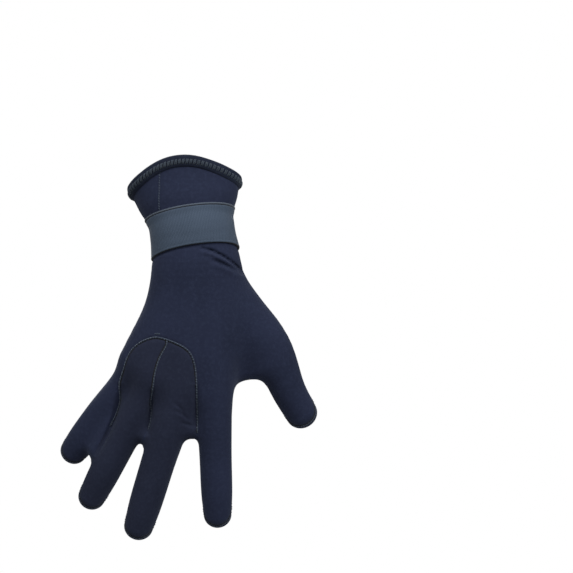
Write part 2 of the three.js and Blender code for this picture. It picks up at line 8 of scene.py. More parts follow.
import bpy
import numpy as np
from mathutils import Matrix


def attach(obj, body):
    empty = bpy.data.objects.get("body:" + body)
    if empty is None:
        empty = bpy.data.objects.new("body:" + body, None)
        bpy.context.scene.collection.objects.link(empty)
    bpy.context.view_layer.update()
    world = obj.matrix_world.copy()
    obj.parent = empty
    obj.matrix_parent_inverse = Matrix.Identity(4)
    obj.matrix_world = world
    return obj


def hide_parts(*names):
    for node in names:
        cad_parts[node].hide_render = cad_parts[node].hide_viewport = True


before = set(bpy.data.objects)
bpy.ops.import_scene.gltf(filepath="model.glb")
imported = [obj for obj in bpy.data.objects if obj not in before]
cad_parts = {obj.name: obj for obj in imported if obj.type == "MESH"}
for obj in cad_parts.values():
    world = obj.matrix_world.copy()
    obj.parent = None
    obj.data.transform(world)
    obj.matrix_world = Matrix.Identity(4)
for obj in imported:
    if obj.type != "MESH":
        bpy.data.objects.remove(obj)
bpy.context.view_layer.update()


# Camera: level with the middle of the picture, a metre in front of the back of the hand. The glove fills
# the lower left of the frame.
SENSOR_WIDTH = 36.0
PICTURE_WIDTH = 573
FOCAL_LENGTH = 1400
camera = bpy.data.objects.new("camera", bpy.data.cameras.new("camera"))
camera.data.sensor_width = SENSOR_WIDTH
camera.data.lens = SENSOR_WIDTH * FOCAL_LENGTH / PICTURE_WIDTH
camera.location = (0.0671, -1.0, -0.0382)
camera.rotation_euler = (math.pi / 2, 0, 0)
bpy.context.collection.objects.link(camera)
bpy.context.scene.camera = camera


# Studio: a white surround, soft boxes on the camera's side, and a pale floor well under the glove, which
# hangs free as it would on its wearer.
bpy.context.scene.view_settings.view_transform = "Standard"


def set_inputs(node, values):
    """Sets a node's inputs by name or number, and links those whose value is another node's socket."""
    for name, value in values.items():
        if isinstance(value, bpy.types.NodeSocket):
            node.id_data.links.new(value, node.inputs[name])
        else:
            node.inputs[name].default_value = value


surround = bpy.data.worlds.new("studio_surround")
surround.use_nodes = True
sky = surround.node_tree
sky.nodes.clear()
sky_mix = sky.nodes.new("ShaderNodeMixShader")
set_inputs(sky_mix, {0: sky.nodes.new("ShaderNodeLightPath").outputs["Is Camera Ray"]})
# the pale blue that lights the glove, then the white that is seen
for number, colour, strength in ((1, (0.93, 0.96, 1.0, 1.0), 0.21), (2, (1.0, 1.0, 1.0, 1.0), 1.0)):
    background = sky.nodes.new("ShaderNodeBackground")
    set_inputs(background, {"Color": colour, "Strength": strength})
    set_inputs(sky_mix, {number: background.outputs[0]})
set_inputs(sky.nodes.new("ShaderNodeOutputWorld"), {"Surface": sky_mix.outputs[0]})
bpy.context.scene.world = surround


def soft_box(name, place, size, power):
    """Square area lamp of that size in metres and power in watts, turned to the middle of the glove."""
    lamp = bpy.data.lights.new(name, "AREA")
    lamp.size = size
    lamp.energy = power
    holder = bpy.data.objects.new(name, lamp)
    holder.location = place
    towards = np.array([0.0, 0.0, -0.08]) - np.array(place)
    yaw = math.atan2(towards[1], towards[0]) - math.pi / 2
    pitch = math.atan2(towards[2], math.hypot(towards[0], towards[1])) + math.pi / 2
    holder.rotation_euler = (pitch, 0, yaw)
    bpy.context.collection.objects.link(holder)


soft_box("key_box", (0.6, -0.72, 0.62), 0.6, 9.4)
soft_box("fill_box", (-0.36, -0.5, 0.76), 0.5, 6.0)
soft_box("rear_box", (-0.3, 1.5, 0.9), 1.2, 26.0)


def shell_object(name, vertices, faces, materials, slots=None, uvs=None):
    """Mesh object from arrays in millimetres: one row of corners for each face, a material slot for each
    face, and one u, v pair for each corner of each face where the pattern follows the surface."""
    mesh = bpy.data.meshes.new(name)
    mesh.from_pydata((np.asarray(vertices) * 0.001).tolist(), [], np.asarray(faces).tolist())
    for finish in materials:
        mesh.materials.append(finish)
    if slots is not None:
        mesh.polygons.foreach_set("material_index", np.asarray(slots, np.int32))
    if uvs is not None:
        layer = mesh.uv_layers.new(name="weave")
        layer.data.foreach_set("uv", np.asarray(uvs, np.float32).ravel())
    mesh.polygons.foreach_set("use_smooth", np.ones(len(mesh.polygons), bool))
    mesh.update()
    made = bpy.data.objects.new(name, mesh)
    bpy.context.collection.objects.link(made)
    return made


def new_material(name):
    """Material with a principled shader, and its node tree and shader for the finish to build on."""
    made = bpy.data.materials.new(name)
    made.use_nodes = True
    return made, made.node_tree, made.node_tree.nodes["Principled BSDF"]


FLOOR_HEIGHT = -1600.0
FLOOR_RADIUS = 6000
floor_finish, _, floor_shader = new_material("pale_floor")
set_inputs(floor_shader, {"Base Color": (0.86, 0.86, 0.86, 1.0), "Roughness": 0.9})
turn = np.linspace(0, 2 * np.pi, 64, endpoint=False)
rim = np.stack([FLOOR_RADIUS * np.cos(turn), FLOOR_RADIUS * np.sin(turn), 0 * turn + FLOOR_HEIGHT], 1)
studio_floor = shell_object("studio_floor", rim, [list(range(64))], [floor_finish])


# Hand: 2.5 mm neoprene with a nylon face, glued and blind stitched from shaped pieces, so it has the form
# of a hand. Its skin is the surface where a distance is 0: chains of elliptic links for the digits,
# the palm and the forearm, joined by fillets.
WALL = 2.5
PALM_LENGTH = 112
PALM_BREADTH = 96
PALM_THICKNESS = 33
FINGER_BREADTH = 24.6
FINGER_THICKNESS = 23
THUMB_BREADTH = 26
THUMB_THICKNESS = 24
THUMB_LENGTH = 66
WRIST_WIDTH = 57.6
WRIST_DEPTH = 43
CUFF_HEIGHT = 47.3
MOUTH_WIDTH = 85.6
MOUTH_DEPTH = 60
FOREARM_LEAN = 9
FOREARM_TILT = 14
TIP_ROUND = 0.86
FINGER_FILLET = 5
WEB_FILLET = 8
PALM_FILLET = 16

# length; knuckle and root at shares of the palm's breadth, thickness and length; splay; curl of each
# bone; shares of the breadth and of the thickness; broadening in the palm
FINGERS = {
    "index": (96.8, (0.157, 0.0, 1.025), (0.15, 0.02, 0.2), 1.7, (1, 4, 8), 0.94, 0.96, 1.13),
    "middle": (105.5, (-0.115, -0.02, 1.07), (0.03, 0.02, 0.2), -17.3, (3, 6, 9), 0.99, 1.0, 1.1),
    "ring": (99, (-0.335, 0.14, 1.005), (-0.05, 0.02, 0.2), -28.3, (5, 9, 12), 0.93, 0.95, 1.08),
    "little": (79, (-0.494, 0.42, 0.935), (-0.03, 0.02, 0.2), -37.5, (9, 13, 15), 0.93, 0.92, 0.95),
}
# along the ray, share of the finger's breadth, share of the palm's depth
RAY_ROWS = ((0.0, 0.85, 0.94), (0.55, 1.0, 1.0), (1.0, 1.0, 0.92))
# share of the finger's length, size at the bone's far end
BONE_ROWS = ((0.44, 1.0), (0.3, 0.96), (0.26, 0.86))
THUMB_KNUCKLE = (0.571, 0.5, 0.722)
THUMB_ROOT = (0.13, 0.3, 0.2)
# along the ray, share of the thumb's breadth, share of its thickness
THUMB_RAY_ROWS = ((0.0, 0.95, 1.1), (0.5, 1.0, 1.12), (1.0, 1.15, 1.04))
# share of the thumb's length, size, splay, curl
THUMB_BONE_ROWS = ((0.56, 0.97, 22.5, 12), (0.46, 0.9, 29, 12))
# from, to, half breadths at both ends, half thicknesses at both ends
PADS = (
    ((0.14, 0.35, 0.25), (0.38, 0.62, 0.64), (0.13, 0.16), (0.5, 0.5)),
    ((-0.05, 0.3, 0.3), (-0.28, 0.45, 0.84), (0.11, 0.13), (0.45, 0.5)),
    ((0.28, 0.3, 0.55), (0.39, 0.42, 0.882), (0.13, 0.15), (0.34, 0.2)),
)
# fingers, reach down their first bones, half breadth, half thickness
WEBS = (
    ("index", "middle", 0.53, 0.24, 0.34),
    ("middle", "ring", 0.68, 0.24, 0.34),
    ("ring", "little", 1.45, 0.28, 0.34),
)
# place in the palm, half breadth, half thickness
CORE_ROWS = (
    ((-0.145, 0.08, 0.9), 0.375, 0.44),
    ((-0.03, 0.07, 0.62), 0.315, 0.49),
    ((0.012, 0.05, 0.34), 0.283, 0.53),
    ((0.013, 0.02, 0.15), 0.3, 0.6),
)
# height as a share of the cuff's, flare from the wrist's size to the mouth's
FOREARM_ROWS = ((0.0, 0.0), (0.22, 0.03), (0.42, 0.24), (0.7, 0.62), (1.0, 1.0), (1.5, 1.5))

lean, tilt = math.radians(FOREARM_LEAN), math.radians(FOREARM_TILT)
FOREARM_ACROSS = np.array([math.cos(lean), 0.0, math.sin(lean)])
FOREARM_UP = np.array([-math.sin(lean) * math.cos(tilt), math.sin(tilt), math.cos(lean) * math.cos(tilt)])
FOREARM_DEEP = np.cross(FOREARM_UP, FOREARM_ACROSS)


def palm_point(across, deep, down):
    """Place in the palm from shares of its breadth, thickness and length."""
    return np.array([across * PALM_BREADTH, deep * PALM_THICKNESS, -down * PALM_LENGTH])


def bone_stations(place, length, bones, half_wide, half_thick):
    """Stations of a digit past its knuckle: each bone, of a share of the length, is laid on from the one
    before it, and the last stops short of the tip by the tip's roundness."""
    stations = []
    for number, (share, size, splay, curl) in enumerate(bones):
        run = share * length - (TIP_ROUND * half_thick if number == len(bones) - 1 else 0)
        flat = run * math.cos(math.radians(curl))
        way = math.radians(splay)
        rise = run * math.sin(math.radians(curl))
        place = place + np.array([flat * math.sin(way), rise, -flat * math.cos(way)])
        stations.append([*place, half_wide * size, half_thick * size])
    return stations


def finger_stations(finger):
    """Rows of x, y, z, half breadth and half thickness from the wrist along the palm to the tip."""
    length, knuckle, root, splay, curls, wide, thick, broadening = finger
    half_wide = wide * FINGER_BREADTH / 2
    half_thick = thick * FINGER_THICKNESS / 2
    root, knuckle = palm_point(*root), palm_point(*knuckle)
    rows = []
    for along, share, deep in RAY_ROWS:
        broad = broadening if along > 0 else 1
        place = root + (knuckle - root) * along
        rows.append([*place, half_wide * share * broad, deep * PALM_THICKNESS / 2])
    bones = [(*row, splay, curl) for row, curl in zip(BONE_ROWS, curls)]
    return np.array(rows + bone_stations(knuckle, length, bones, half_wide, half_thick))


def thumb_stations():
    """The same rows for the thumb, which leaves the wrist on the palm side."""
    half_wide, half_thick = THUMB_BREADTH / 2, THUMB_THICKNESS / 2
    root, knuckle = palm_point(*THUMB_ROOT), palm_point(*THUMB_KNUCKLE)
    way = knuckle - root
    rows = [[*(root + way * a), wide * half_wide, deep * half_thick] for a, wide, deep in THUMB_RAY_ROWS]
    return np.array(rows + bone_stations(knuckle, THUMB_LENGTH, THUMB_BONE_ROWS, half_wide, half_thick))


def web_stations(web):
    """Two rows between a pair of fingers: at their knuckles, and down their first bones."""
    first, second, reach, wide, deep = web
    rows = []
    for share in (0, reach):
        sides = [finger_stations(FINGERS[name])[2:4, :3] for name in (first, second)]
        places = [side[0] + (side[1] - side[0]) * share for side in sides]
        rows.append([*(places[0] + places[1]) / 2, wide * FINGER_BREADTH, deep * FINGER_THICKNESS])
    return np.array(rows)


def palm_row(place, wide, deep):
    """A row in the palm from shares of its breadth, thickness and length."""
    return [*palm_point(*place), wide * PALM_BREADTH, deep * PALM_THICKNESS]


def pad_stations(pad):
    """Two rows, one for each end of a pad of the palm."""
    start, end, wide, deep = pad
    return np.array([palm_row(*row) for row in zip((start, end), wide, deep)])


def forearm_stations():
    """Rows from the knuckles through the palm's core and the wrist to past the mouth of the cuff."""
    rows = [palm_row(*row) for row in CORE_ROWS]
    for up, flare in FOREARM_ROWS:
        wide = WRIST_WIDTH + (MOUTH_WIDTH - WRIST_WIDTH) * flare
        deep = WRIST_DEPTH + (MOUTH_DEPTH - WRIST_DEPTH) * flare
        rows.append([*(FOREARM_UP * up * CUFF_HEIGHT), wide / 2, deep / 2])
    return np.array(rows)


def smooth_chain(stations, links):
    """Centripetal Catmull-Rom spline through the rows, cut into that many links between two of them:
    p1 + m1 s + (3(p2 - p1) - 2 m1 - m2) s2 + (2(p1 - p2) + m1 + m2) s3, with the slopes m1 and m2 from
    the neighbours' distances to the power of a half."""
    padded = np.vstack([2 * stations[0] - stations[1], stations, 2 * stations[-1] - stations[-2]])
    gaps = np.linalg.norm(np.diff(padded[:, :3], axis=0), axis=1)[:, None] ** 0.5
    t = np.linspace(0, len(stations) - 1, (len(stations) - 1) * links + 1)
    bone = np.minimum(t.astype(int), len(stations) - 2)
    s = (t - bone)[:, None]
    p0, p1, p2, p3 = (padded[bone + k] for k in range(4))
    g0, g1, g2 = (gaps[bone + k] for k in range(3))
    m1 = ((p1 - p0) / g0 - (p2 - p0) / (g0 + g1) + (p2 - p1) / g1) * g1
    m2 = ((p2 - p1) / g1 - (p3 - p1) / (g1 + g2) + (p3 - p2) / g2) * g1
    return p1 + m1 * s + (3 * (p2 - p1) - 2 * m1 - m2) * s**2 + (2 * (p1 - p2) + m1 + m2) * s**3


def unit(vectors):
    """The vectors drawn out or in to a length of 1."""
    return vectors / np.maximum(np.linalg.norm(vectors, axis=-1, keepdims=True), 1e-9)


def link_axes(chain):
    """Across, deep and along of each link: deep is +Y made square to the link, across is along x deep."""
    along = unit(np.diff(chain[:, :3], axis=0))
    deep = unit(np.array([0.0, 1.0, 0.0]) - along * along[:, 1:2])
    return np.stack([np.cross(along, deep), deep, along], 1)


def chain_distance(points, chain):
    """Least distance to the links: k(k - 1) / slope, where k is the size of the ellipse through the
    point as a share of the link's own. Points far from the chain get a large distance."""
    reach = chain[:, 3:].max() + 2 * PALM_FILLET
    low, high = chain[:, :3].min(0) - reach, chain[:, :3].max(0) + reach
    near = np.all((points > low) & (points < high), axis=1)
    found = np.full(len(points), 4.0 * PALM_FILLET)
    some = points[near]
    least = np.full(len(some), 4.0 * PALM_FILLET)
    for start, end, axes in zip(chain[:-1], chain[1:], link_axes(chain)):
        local = (some - start[:3]) @ axes.T
        length = np.linalg.norm(end[:3] - start[:3])
        t = np.clip(local[:, 2] / length, 0, 1)
        wide = start[3] + (end[3] - start[3]) * t
        thick = start[4] + (end[4] - start[4]) * t
        cap = np.minimum(wide, thick)
        u, v, w = local[:, 0] / wide, local[:, 1] / thick, (local[:, 2] - t * length) / cap
        size = np.sqrt(u * u + v * v + w * w)
        slope = np.sqrt((u / wide) ** 2 + (v / thick) ** 2 + (w / cap) ** 2)
        np.minimum(least, size * (size - 1) / np.maximum(slope, 1e-9), out=least)
    found[near] = least
    return found


def blend(a, b, fillet):
    """The lesser of two distances, lowered by a fillet where they are alike."""
    overlap = np.maximum(fillet - np.abs(a - b), 0) / fillet
    return np.minimum(a, b) - overlap**2 * fillet / 4


FINGER_CHAINS = {name: smooth_chain(finger_stations(finger), 6) for name, finger in FINGERS.items()}
THUMB_CHAIN = smooth_chain(thumb_stations(), 6)
WEB_CHAINS = [smooth_chain(web_stations(web), 2) for web in WEBS]
PAD_CHAINS = [smooth_chain(pad_stations(pad), 2) for pad in PADS]
FOREARM_CHAIN = smooth_chain(forearm_stations(), 4)

# Folds of the back: two at the thumb, the valleys between the fingers, and three small wrinkles. From,
# bend and to at shares of the palm's breadth and length, depth of the valley, its half width, and the
# height of the ridge on its lower side
FOLDS = (
    ((0.06, 0.10), (0.24, 0.115), (0.40, 0.275), 2.3, 1.15, 1.0),
    ((0.15, 0.178), (0.25, 0.19), (0.385, 0.272), 1.7, 1.4, 0.6),
    ((-0.54, 0.96), (-0.55, 1.205), (-0.74, 1.43), 3.4, 2.2, 0.0),
    ((-0.295, 0.98), (-0.305, 1.13), (-0.335, 1.29), 2.9, 2.3, 0.0),
    ((0.036, 0.96), (0.036, 1.1), (0.03, 1.24), 1.7, 2.2, 0.0),
    ((-0.13, 1.07), (-0.10, 1.08), (-0.05, 1.14), 0.6, 1.0, 0.25),
    ((-0.12, 1.12), (-0.07, 1.13), (-0.02, 1.19), 0.7, 1.0, 0.25),
    ((-0.08, 1.2), (-0.03, 1.21), (0.01, 1.23), 0.7, 1.0, 0.2),
)
BACK_SCALE = np.array([PALM_BREADTH, -PALM_LENGTH])
FOLD_PARTS = 12
FOLD_REACH = 60


def fold_depth(points):
    """Depth of the folds: a bell-shaped valley across each quadratic curve, with a softer ridge on its
    lower side. Both fade out towards the curve's ends, and from 6 to 12 mm on the palm's side of the
    wrist's middle."""
    depth = np.zeros(len(points))
    flat = points[:, [0, 2]]
    on_back = np.clip((12 - points[:, 1]) / 6, 0, 1)
    t = np.linspace(0, 1, FOLD_PARTS + 1)[:, None]
    for *places, valley, width, ridge in FOLDS:
        start, bend, end = np.array(places)
        curve = (start * (1 - t) ** 2 + 2 * bend * t * (1 - t) + end * t**2) * BACK_SCALE
        near = (on_back > 0) & (np.abs(flat - curve.mean(0)).max(1) < FOLD_REACH)
        some = flat[near]
        best = np.full(len(some), 1e9)
        side = np.zeros(len(some))
        run = np.zeros(len(some))
        for number, (a, b) in enumerate(zip(curve[:-1], curve[1:])):
            step = b - a
            share = np.clip(((some - a) @ step) / (step @ step), 0, 1)
            off = some - a - share[:, None] * step
            far = np.linalg.norm(off, axis=1)
            closer = far < best
            best = np.where(closer, far, best)
            cross = step[0] * off[:, 1] - step[1] * off[:, 0]
            side = np.where(closer, np.sign(cross) * far, side)
            run = np.where(closer, (number + share) / FOLD_PARTS, run)
        fade = np.clip(1 - (2 * run - 1) ** 2, 0, 1) ** 0.7
        groove = valley * np.exp(-((side / width) ** 2))
        roll = ridge * np.exp(-(((side + 2.0 * width) / (1.4 * width)) ** 2))
        depth[near] += on_back[near] * fade * (groove - roll)
    return depth


def skin_distance(points):
    """Distance from the outside of the glove, less than 0 inside it."""
    hand = np.full(len(points), 4.0 * PALM_FILLET)
    for chain in FINGER_CHAINS.values():
        hand = blend(hand, chain_distance(points, chain), FINGER_FILLET)
    for chain in WEB_CHAINS:
        hand = blend(hand, chain_distance(points, chain), WEB_FILLET)
    palm = chain_distance(points, THUMB_CHAIN)
    for chain in PAD_CHAINS:
        palm = blend(palm, chain_distance(points, chain), PALM_FILLET)
    body = blend(blend(hand, palm, PALM_FILLET), chain_distance(points, FOREARM_CHAIN), PALM_FILLET)
    return body + fold_depth(points)


def skin_slope(points):
    """Distance and its slope, from small steps along the three axes."""
    step = 0.05
    here = skin_distance(points)
    moved = np.concatenate([points + step * axis for axis in np.eye(3)])
    return here, ((skin_distance(moved).reshape(3, -1) - here) / step).T


def settle(points, level, reach, turns):
    """Moves points down or up the slope onto a level of the distance: p + (level - d) slope / slope2,
    by no more than reach at a turn."""
    for _ in range(turns):
        here, slope = skin_slope(points)
        wanted = (level - here) / np.maximum((slope**2).sum(1), 0.2)
        points = points + np.clip(wanted, -reach, reach)[:, None] * slope
    return points


CORNERS = np.array([[c & 1, c >> 1 & 1, c >> 2 & 1] for c in range(8)])
EDGES = [(c, c | bit) for c in range(8) for bit in (1, 2, 4) if not c & bit]


def sheet_table():
    """For each of the 256 patterns of corners inside a cell, the number of the sheet that each of its 12
    edges is crossed by, or -1. Crossings are joined over the faces of the cell, round the corners inside."""
    faces = []
    for fixed, g, h in ((1, 2, 4), (2, 4, 1), (4, 1, 2)):
        for base in (0, fixed):
            ring = (base, base | g, base | g | h, base | h)
            sides = zip(ring, ring[1:] + ring[:1])
            faces.append([(a, EDGES.index((min(a, b), max(a, b)))) for a, b in sides])
    table = np.full((256, 12), -1)
    for case in range(256):
        inside = [case >> c & 1 for c in range(8)]
        group = [n if inside[a] != inside[b] else -1 for n, (a, b) in enumerate(EDGES)]
        for face in faces:
            crossed = [edge for _, edge in face if group[edge] >= 0]
            pairs = [crossed] if len(crossed) == 2 else []
            if len(crossed) == 4:
                pairs = [(edge, face[n - 1][1]) for n, (corner, edge) in enumerate(face) if inside[corner]]
            for a, b in pairs:
                group = [group[b] if value == group[a] else value for value in group]
        roots = sorted(set(group) - {-1})
        table[case] = [roots.index(value) if value >= 0 else -1 for value in group]
    return table


SHEETS = sheet_table()


def surface_net(level, low, high, cell):
    """Quads round the region where the distance is less than a level: a vertex in each cell for each
    sheet that crosses it, at the mean of its crossings, and a quad round each grid edge that crosses."""
    counts = np.ceil((high - low) / cell).astype(int) + 1
    lines = [low[k] + cell * np.arange(counts[k]) for k in range(3)]
    nodes = np.stack(np.meshgrid(*lines, indexing="ij"), -1).reshape(-1, 3)
    values = (skin_distance(nodes) - level).reshape(counts)
    inside = values < 0
    cells = counts - 1
    case = np.zeros(cells, int)
    for c, (i, j, k) in enumerate(CORNERS):
        case |= inside[i:i + cells[0], j:j + cells[1], k:k + cells[2]].astype(int) << c
    active = np.argwhere((case > 0) & (case < 255))
    labels = SHEETS[case[tuple(active.T)]]
    numbers = np.ravel_multi_index(active.T, cells)
    keys, places = [], []
    for edge, (a, b) in enumerate(EDGES):
        hit = labels[:, edge] >= 0
        from_corner, to_corner = active[hit] + CORNERS[a], active[hit] + CORNERS[b]
        here, there = values[tuple(from_corner.T)], values[tuple(to_corner.T)]
        places.append(from_corner + (to_corner - from_corner) * (here / (here - there))[:, None])
        keys.append(numbers[hit] * 4 + labels[hit, edge])
    owners, index = np.unique(np.concatenate(keys), return_inverse=True)
    places = np.concatenate(places)
    count = np.bincount(index)
    vertices = low + cell * np.stack([np.bincount(index, places[:, k]) / count for k in range(3)], 1)
    quads = []
    one = np.eye(3, dtype=int)
    for axis in range(3):
        b, c = (axis + 1) % 3, (axis + 2) % 3
        starts = inside[1:-1, 1:-1, 1:-1]
        ends = np.roll(inside, -1, axis)[1:-1, 1:-1, 1:-1]
        at = np.argwhere(starts != ends) + 1
        ring = []
        for off_b, off_c in ((1, 1), (0, 1), (0, 0), (1, 0)):
            corner = off_b << b | off_c << c
            cell_at = at - off_b * one[b] - off_c * one[c]
            sheet = SHEETS[case[tuple(cell_at.T)], EDGES.index((corner, corner | 1 << axis))]
            ring.append(np.searchsorted(owners, np.ravel_multi_index(cell_at.T, cells) * 4 + sheet))
        ring = np.stack(ring, 1)
        outward = inside[tuple(at.T)]
        quads.append(np.where(outward[:, None], ring, ring[:, ::-1]))
    return vertices, np.concatenate(quads)


def edge_pairs(quads):
    """Each edge once, and the number of the edge that follows each corner of each quad."""
    ends = np.stack([quads, np.roll(quads, -1, 1)], -1).reshape(-1, 2)
    pairs, index = np.unique(np.sort(ends, 1), axis=0, return_inverse=True)
    return pairs, index.reshape(-1, 4)


def split_quads(vertices, quads):
    """Each quad becomes four, round its centre and the middles of its edges."""
    pairs, index = edge_pairs(quads)
    edge = len(vertices) + index
    centre = len(vertices) + len(pairs) + np.arange(len(quads))
    parts = [np.stack([quads[:, k], edge[:, k], centre, edge[:, k - 1]], 1) for k in range(4)]
    grown = np.vstack([vertices, vertices[pairs].mean(1), vertices[quads].mean(1)])
    return grown, np.stack(parts, 1).reshape(-1, 4)


def relax(vertices, quads, level, reach, turns):
    """Draws each vertex towards the middle of its neighbours and back onto the level."""
    pairs, _ = edge_pairs(quads)
    ends = np.concatenate([pairs, pairs[:, ::-1]])
    count = np.bincount(ends[:, 0], minlength=len(vertices))[:, None]
    for _ in range(turns):
        total = [np.bincount(ends[:, 0], vertices[ends[:, 1], k], len(vertices)) for k in range(3)]
        vertices = vertices + 0.6 * (np.stack(total, 1) / count - vertices)
        vertices = settle(vertices, level, reach, 1)
    return settle(vertices, level, reach, 1)


def forearm_height(points):
    """Height along the forearm's axis above the middle of the wrist."""
    return points @ FOREARM_UP


# Seams of the back, from the arch over the palm down to the webs, at shares of the palm's breadth and
# length: leg by the little finger, centre seam, leg by the index finger
SEAM_ROWS = np.array([
    ((-0.235, 0.657), (-0.18, 0.672), (-0.14, 0.689)),
    ((-0.33, 0.677), (-0.182, 0.705), (-0.06, 0.72)),
    ((-0.41, 0.715), (-0.2, 0.735), (-0.01, 0.757)),
    ((-0.465, 0.77), (-0.235, 0.79), (0.018, 0.81)),
    ((-0.505, 0.865), (-0.268, 0.88), (0.032, 0.88)),
    ((-0.543, 0.96), (-0.285, 0.97), (0.036, 0.97)),
    ((-0.543, 1.06), (-0.307, 1.06), (0.036, 1.07)),
    ((-0.575, 1.16), (-0.31, 1.17), (0.036, 1.18)),
    ((-0.62, 1.24), (-0.33, 1.25), (0.036, 1.27)),
])


def smooth_line(rows, links):
    """The smooth chain's curve through rows of two or three columns."""
    wide = np.zeros((len(rows), 5))
    wide[:, :rows.shape[1]] = rows
    return smooth_chain(wide, links)[:, :rows.shape[1]]


def back_seam(rows):
    """A seam's x and z, on a smooth curve through its rows."""
    return smooth_line(rows * BACK_SCALE, 6)


little_leg, centre_line, index_leg = (back_seam(SEAM_ROWS[:, k]) for k in range(3))


def outline_depth(points, outline):
    """Signed distance in x and z from a closed outline, more than 0 inside it."""
    flat = points[:, [0, 2]]
    best = np.full(len(flat), 1e9)
    inside = np.zeros(len(flat), bool)
    for a, b in zip(outline, np.roll(outline, -1, 0)):
        step = b - a
        share = np.clip(((flat - a) @ step) / (step @ step), 0, 1)
        best = np.minimum(best, np.linalg.norm(flat - a - share[:, None] * step, axis=1))
        spans = (a[1] > flat[:, 1]) != (b[1] > flat[:, 1])
        rise = b[1] - a[1] if b[1] != a[1] else 1e-9
        inside ^= spans & (flat[:, 0] < a[0] + (flat[:, 1] - a[1]) * step[0] / rise)
    return np.where(inside, best, -best)


SEAM_FACING = 0.42
TIP_TURN = 1.07


def side_level(points):
    """0 on the side seam and less on the back of it: the skin faces the palm by SEAM_FACING there, and
    less by up to TIP_TURN round the tips of the digits, so that the seam shows on the back of a tip.
    The turn comes in along the last half thicknesses of the digit, and only near its own tip."""
    level = unit(skin_slope(points)[1])[:, 1] - SEAM_FACING
    for chain in (*FINGER_CHAINS.values(), THUMB_CHAIN):
        off = points - chain[-1, :3]
        past = np.clip((off @ link_axes(chain)[-1, 2] / chain[-1, 4] + 1.4) / 2.2, 0, 1)
        near = np.clip(2.6 - np.linalg.norm(off, axis=1) / chain[-1, 4], 0, 1)
        level += TIP_TURN * past**2 * (3 - 2 * past) * near
    return level


def panel_outline(finger, left, right):
    """A finger's back panel seen from the back: its two seams over the palm, then round the finger."""
    chain = FINGER_CHAINS[finger][12:]
    way = chain[-1, :3] - chain[0, :3]
    way = way[[0, 2]] / np.linalg.norm(way[[0, 2]])
    over = np.array([-way[1], way[0]])
    half = chain[6:, 3:4] + 1.5
    axis = chain[6:, [0, 2]]
    tip = axis[-1] + way * half[-1] * 1.5
    beyond, reach = np.vstack([axis, tip]), over * np.vstack([half, half[-1:]])
    return np.vstack([left, beyond - reach, (beyond + reach)[::-1], right[::-1]])


MIDDLE_OUTLINE = panel_outline("middle", centre_line, index_leg)
RING_OUTLINE = panel_outline("ring", little_leg, centre_line)


def panel_depth(points, outline, level):
    """How far a point lies inside a panel, which stops at the side seam."""
    return np.minimum(outline_depth(points, outline), -FINGER_THICKNESS / 2 * level)


# the grid on which the surfaces are found, with coarser cells for the lining
cell = 1.9
inner_cell = 3.4
low = np.array([-106.0, -32.0, -228.0])
high = np.array([98.0, 52.0, 14.0])
skin, skin_quads = surface_net(0.0, low, high, cell)
skin = settle(skin, 0.0, cell / 2, 2)
skin = relax(skin, skin_quads, 0.0, cell / 2, 3)
skin, skin_quads = split_quads(skin, skin_quads)
skin = relax(skin, skin_quads, 0.0, cell / 4, 1)

lining, lining_quads = surface_net(-WALL, low, high, inner_cell)
lining = settle(lining, -WALL, inner_cell / 2, 2)
lining = relax(lining, lining_quads, -WALL, inner_cell / 2, 2)
lining_quads = lining_quads[:, ::-1]


LINE_STEP = 0.8


def run_along(points):
    """Length of a line from its first point to each point."""
    return np.concatenate([[0], np.cumsum(np.linalg.norm(np.diff(points, axis=0), axis=1))])


def even_line(points, spacing=LINE_STEP, turns=3):
    """The line through the points, smoothed and cut into equal steps, back on the skin."""
    for _ in range(turns):
        points = np.vstack([points[:1], (points[:-2] + 2 * points[1:-1] + points[2:]) / 4, points[-1:]])
    along = run_along(points)
    wanted = np.linspace(0, along[-1], int(along[-1] / spacing) + 1)
    even = np.stack([np.interp(wanted, along, points[:, k]) for k in range(3)], 1)
    return settle(even, 0.0, 0.6, 3)


def from_the_back(flat):
    """The skin's point behind each x and z: where a ray from the back of the hand first passes through
    the skin, looked for in steps of a millimetre."""
    depth = np.arange(-60.0, 20.0)
    rays = np.stack(np.broadcast_arrays(flat[:, :1], depth, flat[:, 1:]), -1)
    found = skin_distance(rays.reshape(-1, 3)).reshape(len(flat), -1)
    first = (found < 0).argmax(1)
    row = np.arange(len(flat))
    before, after = found[row, first - 1], found[row, first]
    return np.stack([flat[:, 0], depth[first - 1] + before / (before - after), flat[:, 1]], 1)


def level_line(vertices, quads, values):
    """The longest line on which a value of the vertices passes through 0: it crosses an edge at
    a / (a - b) of the way, and is joined from quad to quad."""
    pairs, index = edge_pairs(quads)
    first, second = values[pairs[:, 0]], values[pairs[:, 1]]
    crossed = (first > 0) != (second > 0)
    share = np.where(crossed, first / np.where(crossed, first - second, 1), 0)[:, None]
    places = vertices[pairs[:, 0]] * (1 - share) + vertices[pairs[:, 1]] * share
    links = {}
    for row in index[crossed[index].sum(1) == 2]:
        a, b = row[crossed[row]]
        links.setdefault(a, []).append(b)
        links.setdefault(b, []).append(a)
    seen = set()
    lines = []
    for start in sorted(links, key=lambda edge: len(links[edge])):
        line = []
        ahead = [start]
        while ahead and ahead[0] not in seen:
            line.append(ahead[0])
            seen.add(ahead[0])
            ahead = [edge for edge in links[line[-1]] if edge not in seen]
        lines.append(places[line])
    return max(lines, key=len)


SIDE_SEAM_TOP = -4
side_line = level_line(skin, skin_quads, side_level(skin))
side_seam = even_line(side_line[forearm_height(side_line) < SIDE_SEAM_TOP], turns=4)
arch_seam = even_line(from_the_back(np.vstack([little_leg[::-1], index_leg])))
centre_seam = even_line(from_the_back(centre_line))
seam_points = np.concatenate([side_seam, arch_seam, centre_seam])


